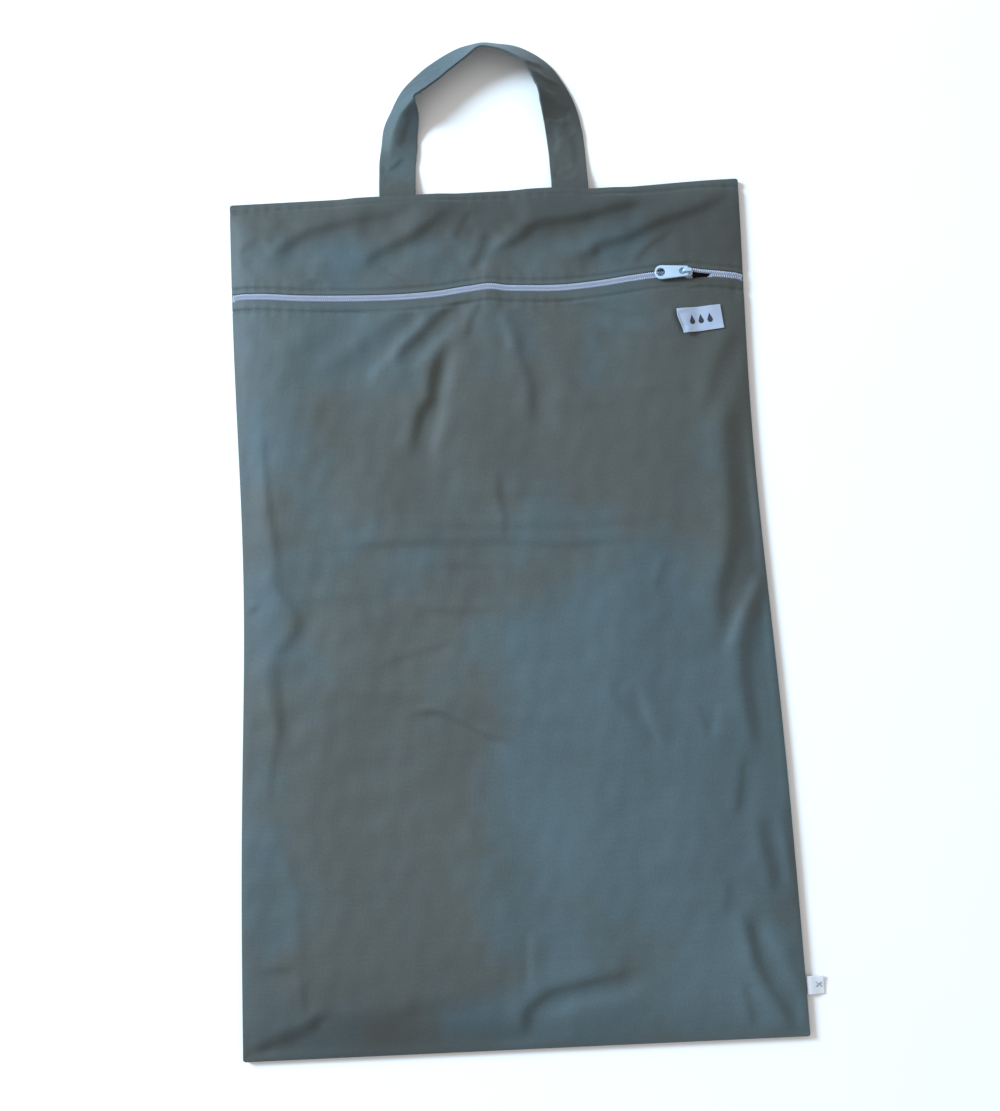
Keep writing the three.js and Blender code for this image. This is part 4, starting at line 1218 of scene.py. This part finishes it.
def white_weave(name, shade, dip_shade, pitch, roughness, sheen):
    """A woven white ribbon, with ribs along V that are pitch apart, in metres."""
    material, tree, shader = new_material(
        name, Roughness=roughness, IOR=1.5, Sheen_Weight=sheen, Sheen_Roughness=0.4,
    )
    place = add_node(tree, "ShaderNodeUVMap", {"uv_map": "cloth"}).outputs["UV"]
    bands = []
    for direction, apart in (("X", pitch), ("Y", pitch * 1.5)):
        threads = add_node(
            tree, "ShaderNodeTexWave", {"bands_direction": direction},
            Vector=place, Scale=WAVE_PERIOD / apart,
        )
        bands.append(threads.outputs["Fac"])
    both = add_node(tree, "ShaderNodeMath", {"operation": "MULTIPLY"}, _0=bands[0], _1=bands[1])
    tone = add_node(
        tree, "ShaderNodeMixRGB", Fac=both.outputs[0], Color1=linear(dip_shade), Color2=linear(shade),
    )
    tree.links.new(tone.outputs[0], shader.inputs["Base Color"])
    relief = add_node(tree, "ShaderNodeBump", Height=both.outputs[0], Strength=0.6, Distance=0.1 * MM)
    tree.links.new(relief.outputs["Normal"], shader.inputs["Normal"])
    return material


zip_tape = white_weave("polyester_tape", "#b3bdcc", "#98a3b4", 0.8 * MM, 0.6, 0.1)

# %% [markdown]
# Both coils follow the zip's line, half a turn apart. Behind the slider they part, and the lower
# one moves aside and down, under the panel.
# Copies of one turn could be set along the line, but they would break where it bends, so each
# filament's centre line is worked out as one path.

# %% Coils
TURN_PITCH = 1.45
FILAMENT = 0.66
POINTS_PER_TURN = 10
SLIP_ASIDE = 3.0           # how far the lower coil and its tape move behind the slider
SLIP_DOWN = 2.3
HEAD_REACH = 0.45          # how far the closed heads reach past their coil's own side


def zip_shares(count):
    first = ZIP_INSET / BAG_WIDTH
    return np.linspace(first, 1 - first, count)


def coil_path(side):
    """The filament's centre line, in mm."""
    first, last = zip_shares(2)
    turns = int((last - first) * BAG_WIDTH / TURN_PITCH)
    turn_at = np.linspace(0, turns, turns * POINTS_PER_TURN + 1)
    share = first + (last - first) * turn_at / turns
    x, y, height = zip_at(share)
    slip = mouth_slip(share, side)
    near = coil_offset(share, side) + FILAMENT / 2 - HEAD_REACH + SLIP_ASIDE * slip
    far = coil_offset(share, side) + COIL_WIDTH - FILAMENT / 2 + SLIP_ASIDE * slip
    phase = 2 * math.pi * (turn_at + (0.5 if side > 0 else 0))
    reach = (near + far) / 2 + (far - near) / 2 * np.cos(phase)
    middle = -CLOTH + COIL_HEIGHT / 2 - SLIP_DOWN * slip
    rise = (COIL_HEIGHT - FILAMENT) / 2 * np.sin(phase)
    return np.stack((x, y + side * reach, height + middle + rise), axis=1)


def made_mesh(name, curve):
    """A curve as a new object, turned into a mesh."""
    piece = bpy.data.objects.new(name, curve)
    bpy.context.scene.collection.objects.link(piece)
    select_only(piece)
    bpy.ops.object.convert(target="MESH")
    return bpy.context.object


def tube_along(name, path, diameter, material):
    """A round tube along a path in mm, as a mesh."""
    curve = bpy.data.curves.new(name, "CURVE")
    curve.dimensions = "3D"
    curve.bevel_depth = diameter / 2 * MM
    curve.bevel_resolution = 1
    curve.use_fill_caps = True
    spline = curve.splines.new("POLY")
    spline.points.add(len(path) - 1)
    spline.points.foreach_set("co", np.column_stack((path * MM, np.ones(len(path)))).ravel())
    piece = made_mesh(name, curve)
    bpy.ops.object.shade_smooth()
    piece.data.materials.append(material)
    print(name, "has", len(piece.data.polygons), "faces")
    return piece


for side, name in ((1, "upper"), (-1, "lower")):
    coil = tube_along(f"zip_coil_turns_{name}", coil_path(side), FILAMENT, nylon)
    finish_piece(coil, nodes=[f"zip_coil_{name}"])

# %% [markdown]
# The tapes lie under the cloth on both sides of the coils. Only a thin line of each shows, and a
# little more in the open mouth behind the slider.
# They are laid as sheets like the panels. Straight strips would cut through the cloth where the
# zip wanders.

# %% Tapes
TAPE_COLUMNS = 220
TAPE_ROWS = 8
TAPE_DROP = 1.3            # the stitches pull the cloth down onto the tape's outer part
TAPE_DROPS = (3, 7)        # distances from the coil's side, over which the tape drops


def tape_surface(side):
    def place(column, row):
        share = zip_shares(TAPE_COLUMNS + 1)[column]
        x, y, height = zip_at(share)
        reach = row / TAPE_ROWS * TAPE_WIDTH
        slip = mouth_slip(share, side)
        top = height - CLOTH - SEAM_GAP - TAPE_DROP * smooth_step(reach, *TAPE_DROPS) - SLIP_DOWN * slip
        points = np.stack((x, y + side * (coil_offset(share, side) + SLIP_ASIDE * slip + reach), top), axis=1)
        return points, np.stack((x, reach), axis=1)
    return place


for side, name in ((1, "upper"), (-1, "lower")):
    tape = lay_sheet(
        f"zip_tape_weave_{name}", TAPE_COLUMNS, TAPE_ROWS, tape_surface(side),
        TAPE_THICKNESS, TAPE_ROUND, zip_tape,
    )
    finish_piece(tape, nodes=[f"zip_tape_{name}"])

# %% [markdown]
# ## Slider and puller
#
# Both are cast zinc, coated white with baked enamel: a smooth bluish white with a clear,
# soft-edged highlight and a faint orange peel.
# An even white would look like plastic, so the colour drifts a little and the surface has relief.

# %% White coating
enamel, enamel_tree, enamel_shader, enamel_noise = mottled_material(
    "white_enamel", "#a6bdd4", "#b4cadd", 1 / (1.4 * MM),
    Roughness=0.28, IOR=1.5, Coat_Weight=0.4, Coat_Roughness=0.12,
)
peel = add_node(
    enamel_tree, "ShaderNodeBump", Height=enamel_noise.outputs["Fac"], Strength=0.15, Distance=0.05 * MM,
)
enamel_tree.links.new(peel.outputs["Normal"], enamel_shader.inputs["Normal"])

# %% [markdown]
# The slider is the solid's own shape with its edges rounded as a coating rounds them.
# It could be modelled again in more detail, but the puller hides most of it, so a copy of the
# solid with a Bevel is enough.

# %% Slider
SLIDER_ROUND = 0.22
MERGE_DISTANCE = 1e-6      # metres
SHARP_EDGE = math.radians(35)


def join_points(piece, join_flat_faces=False):
    """Joins points that fall together and turns the faces outwards."""
    select_only(piece)
    bpy.ops.object.mode_set(mode="EDIT")
    bpy.ops.mesh.select_all(action="SELECT")
    bpy.ops.mesh.remove_doubles(threshold=MERGE_DISTANCE)
    if join_flat_faces:
        bpy.ops.mesh.dissolve_limited(angle_limit=math.radians(1))
    bpy.ops.mesh.normals_make_consistent(inside=False)
    bpy.ops.object.mode_set(mode="OBJECT")


slider = bpy.data.objects.new("zip_slider_cast", frame["nodes"]["zip_slider"].data.copy())
slider.data.materials.clear()
bpy.context.scene.collection.objects.link(slider)
join_points(slider, join_flat_faces=True)
rounding = slider.modifiers.new("coated edge", "BEVEL")
rounding.width = SLIDER_ROUND * MM
rounding.segments = 2
rounding.limit_method = "ANGLE"
rounding.angle_limit = math.radians(40)
apply_modifiers(slider)
bpy.ops.object.shade_smooth_by_angle(angle=SHARP_EDGE)
slider.data.materials.append(enamel)
finish_piece(slider, nodes=["zip_slider"])
print("slider has", len(slider.data.polygons), "faces")

# %% [markdown]
# The puller is drawn again as a flat outline with two holes, because the solid's holes have only a
# few sides. A filled curve gets its thickness and a rounded edge, becomes a mesh, and is then laid
# from the hinge down to where the solid's free end rests.

# %% Puller
TAB_LENGTH = 25.5
TAB_WIDTH = 11
TAB_HINGE_WIDTH = 8
TAB_THICKNESS = 1.6
TAB_BAR = 1.8
TAB_BIG_HOLE = 6.5
TAB_BIG_HOLE_INSET = 4.6
TAB_SMALL_HOLE = 5.2
TAB_ROUND = 0.35
TAB_CORNER = 1.3           # radius of the corners at the hinge
RING_POINTS = 40


def bend(start, corner, end, steps=9):
    """Points of a quadratic curve, without its first one."""
    t = np.linspace(0, 1, steps)[1:, None]
    start, corner, end = map(np.array, (start, corner, end))
    return (1 - t) ** 2 * start + 2 * t * (1 - t) * corner + t * t * end


def tab_outline():
    near, far = TAB_BAR / 2 - TAB_ROUND, TAB_BAR / 2 - TAB_LENGTH + TAB_ROUND
    near_half, far_half = TAB_HINGE_WIDTH / 2 - TAB_ROUND, TAB_WIDTH / 2 - TAB_ROUND
    upper = [
        np.array([(near, near_half - TAB_CORNER)]),
        bend((near, near_half - TAB_CORNER), (near, near_half), (near - TAB_CORNER, near_half)),
        np.array([(far + far_half, far_half)]),
        bend((far + far_half, far_half), (far, far_half), (far, 0)),
    ]
    upper = np.concatenate(upper)
    lower = (upper * (1, -1))[::-1][1:]
    return np.concatenate((upper, lower))


def ring(centre, diameter):
    angles = np.linspace(0, 2 * math.pi, RING_POINTS + 1)[:-1]
    radius = diameter / 2 + TAB_ROUND
    return np.stack((centre + radius * np.cos(angles), radius * np.sin(angles)), axis=1)


def filled_outline(name, loops, half_height):
    """A flat filled curve through closed loops of points in mm, raised by half_height both ways."""
    curve = bpy.data.curves.new(name, "CURVE")
    curve.dimensions = "2D"
    curve.fill_mode = "BOTH"
    curve.extrude = half_height * MM
    for loop in loops:
        spline = curve.splines.new("POLY")
        spline.points.add(len(loop) - 1)
        flat = np.column_stack((loop * MM, np.zeros(len(loop)), np.ones(len(loop))))
        spline.points.foreach_set("co", flat.ravel())
        spline.use_cyclic_u = True
    return curve


big_hole = ring(TAB_BAR / 2 - TAB_LENGTH + TAB_BIG_HOLE_INSET, TAB_BIG_HOLE)
small_hole = ring(-TAB_BAR / 2 - TAB_SMALL_HOLE / 2, TAB_SMALL_HOLE)
tab_curve = filled_outline("puller", [tab_outline(), big_hole, small_hole], TAB_THICKNESS / 2 - TAB_ROUND)
tab_curve.bevel_depth = TAB_ROUND * MM
tab_curve.bevel_resolution = 2
tab = made_mesh("puller_cast", tab_curve)
hinge = frame["joints"][0]
pivot = Vector(hinge.get("pos_m") or hinge["pos"])
hinge_axis = Vector(hinge["axis"]).normalized()
tab_low, tab_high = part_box("pull_tab")
drop = pivot.z - (tab_low.z + TAB_THICKNESS / 2 * MM)
tab_x = Vector((1, 0, 0)) - hinge_axis * hinge_axis.x
tab_x.z = drop / (TAB_LENGTH * MM)
tab_x.normalize()
tab_z = tab_x.cross(hinge_axis)
tab.data.transform(Matrix((tab_x, hinge_axis, tab_z)).transposed().to_4x4())
tab.data.transform(Matrix.Translation(pivot))
join_points(tab)
bpy.ops.object.shade_smooth_by_angle(angle=SHARP_EDGE)
tab.data.materials.append(enamel)
finish_piece(tab, body="pull_tab", nodes=["pull_tab"])
made = point_array(tab.data)
print("puller from", made.min(0), "to", made.max(0), "and its solid", tab_low, tab_high)

# %% [markdown]
# ## Label and care tag
#
# The label is a stiff woven ribbon, stitched down at its right end, with its left end curled up.
# It is laid over the folds below it and spans the narrow ones.
# A flat card would float over the hollows or cut into the folds, so the label takes its height
# from the front's surface.

# %% Label
LABEL_WIDTH = 35
LABEL_HEIGHT = 19.3
LABEL_THICKNESS = 0.5
LABEL_MIDDLE = (159.4, 204.4)
LABEL_TURN = math.radians(7.5)
LABEL_SIDE_TURN = math.radians(4.5)
LABEL_TUCK = 3.0           # how far the curled corner draws in
LABEL_CURL = 3.6
LABEL_GAP = 0.5
CURLED_SHARE = 0.5         # how much of its width curls up
CURLED_CORNER = (0.3, 0.8)  # shares of its width and height that the curled corner takes
CORNER_HANG = 0.4          # the corner itself hangs back by this share of the curl
LABEL_SPAN = 4             # it spans a hollow of this size
LABEL_COLUMNS = 70
LABEL_ROWS = 36

label_ribbon = white_weave("woven_ribbon", "#bccadf", "#a3b2ca", 0.6 * MM, 0.5, 0.15)


def label_point(local_x, local_y):
    """A point on the label's top, from its place on the flat label."""
    across = local_x / LABEL_WIDTH + 0.5
    up = local_y / LABEL_HEIGHT + 0.5
    corner = (1 - smooth_step(across, 0, CURLED_CORNER[0])) * (1 - smooth_step(up, 0, CURLED_CORNER[1]))
    tucked = local_x + LABEL_TUCK * corner
    x = LABEL_MIDDLE[0] + tucked * math.cos(LABEL_TURN) - local_y * math.sin(LABEL_SIDE_TURN)
    y = LABEL_MIDDLE[1] + tucked * math.sin(LABEL_TURN) + local_y * math.cos(LABEL_SIDE_TURN)
    curl = LABEL_CURL * (1 - smooth_step(across, 0, CURLED_SHARE)) * (1 - CORNER_HANG * corner)
    ride = np.maximum(front_height(x, y), front_height(x, y + LABEL_SPAN)) + LABEL_GAP
    return np.stack((x, y, ride + LABEL_THICKNESS + curl), axis=1)


def label_surface(column, row):
    local_x = (column / LABEL_COLUMNS - 0.5) * LABEL_WIDTH
    local_y = (row / LABEL_ROWS - 0.5) * LABEL_HEIGHT
    return label_point(local_x, local_y), np.stack((local_x, local_y), axis=1)


label = lay_sheet(
    "woven_label_ribbon", LABEL_COLUMNS, LABEL_ROWS, label_surface,
    LABEL_THICKNESS, RIBBON_ROUND, label_ribbon,
)
finish_piece(label, nodes=["woven_label"])

# %% [markdown]
# Three plain drops of water are woven into the label with dark thread. They are filled outlines,
# made one thin mesh and laid on the label's surface, point by point.
# They could be drawn in the material, but as a mesh their edge stays sharp from close up.

# %% Drops on the label
DROP_PLACES = (-6.5, 0.5, 7.5)
DROP_HALF_THICK = 0.05
DROP_RADIUS = 2.1
DROP_TALL = 7.4
DROP_LIFT = 0.06


def drop_outline(middle):
    angles = np.linspace(math.radians(-215), math.radians(35), 25)
    round_part = np.stack((DROP_RADIUS * np.cos(angles), DROP_RADIUS * np.sin(angles)), axis=1)
    tip = np.array([(0, DROP_TALL - DROP_RADIUS)])
    outline = np.concatenate((round_part, tip))
    return outline + (middle, -DROP_TALL / 2 + DROP_RADIUS)


# Dark thread woven into the ribbon: matt, nearly black, with a trace of blue.
dark_weave, *_ = mottled_material(
    "dark_woven_thread", "#1c2329", "#3a444c", 1 / (0.7 * MM), Roughness=0.75, IOR=1.5,
)

drops_curve = filled_outline("label_drops", [drop_outline(middle) for middle in DROP_PLACES], DROP_HALF_THICK)
drops = made_mesh("label_drops", drops_curve)
flat = point_array(drops.data) / MM
laid = label_point(flat[:, 0], flat[:, 1])
laid[:, 2] += flat[:, 2] + DROP_LIFT
drops.data.vertices.foreach_set("co", (laid * MM).ravel())
drops.data.update()
drops.data.materials.append(dark_weave)
finish_piece(drops)
print("drops have", len(drops.data.polygons), "faces")

# %% [markdown]
# The care tag is a short satin ribbon caught in the side seam. It droops to the floor, and its
# upper corner curls up.
# White on a white floor is hard to see, and the curl gives it a shadow and a lit edge.

# %% Care tag
satin = white_weave("satin_ribbon", "#eef1f5", "#d5dae2", 0.6 * MM, 0.45, 0.15)
TAG_LENGTH = 12.5
TAG_WIDTH = 12.5
TAG_THICKNESS = 1.0
TAG_Y = 34 - TOP
TAG_GAP = 0.5
TAG_LOWEST = 0.12
TAG_DROOPS_FROM = 0.1      # share of its length
TAG_CURL = 1.3
TAG_CURLS_FROM = 0.45
TAG_COLUMNS = 24
TAG_ROWS = 24


def tag_surface(column, row):
    across = column / TAG_COLUMNS
    y = TAG_Y + (row / TAG_ROWS - 0.5) * TAG_WIDTH
    x = right_edge(TAG_Y) + TAG_GAP + across * TAG_LENGTH
    droop = TAG_LOWEST + (SEAM_LIFT + CLOTH / 2) * (1 - smooth_step(across, TAG_DROOPS_FROM, 1))
    curl = TAG_CURL * smooth_step(across, TAG_CURLS_FROM, 1) * (row / TAG_ROWS) ** 2
    points = np.stack((x, y, droop + TAG_THICKNESS + curl), axis=1)
    return points, np.stack((across * TAG_LENGTH, y), axis=1)


tag = lay_sheet(
    "care_tag_ribbon", TAG_COLUMNS, TAG_ROWS, tag_surface, TAG_THICKNESS, RIBBON_ROUND, satin,
)
finish_piece(tag, nodes=["care_tag"])

# %% [markdown]
# A small cross of dark thread is tacked onto the tag. Each arm is a line of two stitches.
# The function that made the seams' stitches makes them too.

# %% Tacking cross on the tag
CROSS_MIDDLE = (209.2, -285.6)
CROSS_REACH = 2.6
CROSS_RISE = CROSS_REACH * 0.8
CROSS_HEIGHT = TAG_THICKNESS + 1.25
cross_arms = []
for rise in (-1, 1):
    arm = np.array([
        (CROSS_MIDDLE[0] + end * CROSS_REACH, CROSS_MIDDLE[1] + end * rise * CROSS_RISE, CROSS_HEIGHT)
        for end in (-1, 1)
    ])
    cross_arms.append(stitch_line(f"tag_stitch_{len(cross_arms)}", arm, dark_weave))
for arm in cross_arms:
    finish_piece(arm)

# %% [markdown]
# ## Floor and light
#
# The floor is a plain pale board, so that the bag's soft shadow is all that shows on it.
# It lies a twentieth of a millimetre below the bag, because two faces in one plane flicker.

# %% Floor
FLOOR_SIZE = 12.0
FLOOR_DROP = 0.05 * MM
bpy.ops.object.select_all(action="DESELECT")
bpy.ops.mesh.primitive_plane_add(size=FLOOR_SIZE, location=(0, 0, -FLOOR_DROP))
floor = bpy.context.object
floor.name = floor.data.name = "floor"
floor_paint, *_ = mottled_material("matt_white_board", "#f6f6f6", "#fafafa", 6.0, Roughness=0.9)
floor.data.materials.append(floor_paint)

# %% [markdown]
# A large soft light stands low on the left, as a window would, and the even light of the
# surroundings fills the shadows. The low light is what makes the folds readable: slopes that face
# it are bright and slopes that face away are dark.
# A sun lamp would draw the shadows too sharply, and an area light of this size keeps them soft.

# %% Light
WINDOW_PLACE = Vector((-2.68, 1.45, 1.81))
WINDOW_SIZE = 1.2
WINDOW_POWER = 212
WINDOW_COLOUR = (0.61, 0.82, 1.0)
FILL_COLOUR = (0.60, 0.59, 0.585, 1)

window_light = bpy.data.lights.new("window", "AREA")
window_light.shape = "SQUARE"
window_light.size = WINDOW_SIZE
window_light.energy = WINDOW_POWER
window_light.color = WINDOW_COLOUR
window = bpy.data.objects.new("window", window_light)
bpy.context.scene.collection.objects.link(window)
window.location = WINDOW_PLACE
window.rotation_euler = (-WINDOW_PLACE).to_track_quat("-Z", "Y").to_euler()

world = bpy.data.worlds.new("pale_surroundings")
world.use_nodes = True
background = world.node_tree.nodes["Background"]
background.inputs["Color"].default_value = FILL_COLOUR
background.inputs["Strength"].default_value = 1
bpy.context.scene.world = world
bpy.context.scene.view_settings.view_transform = "Standard"
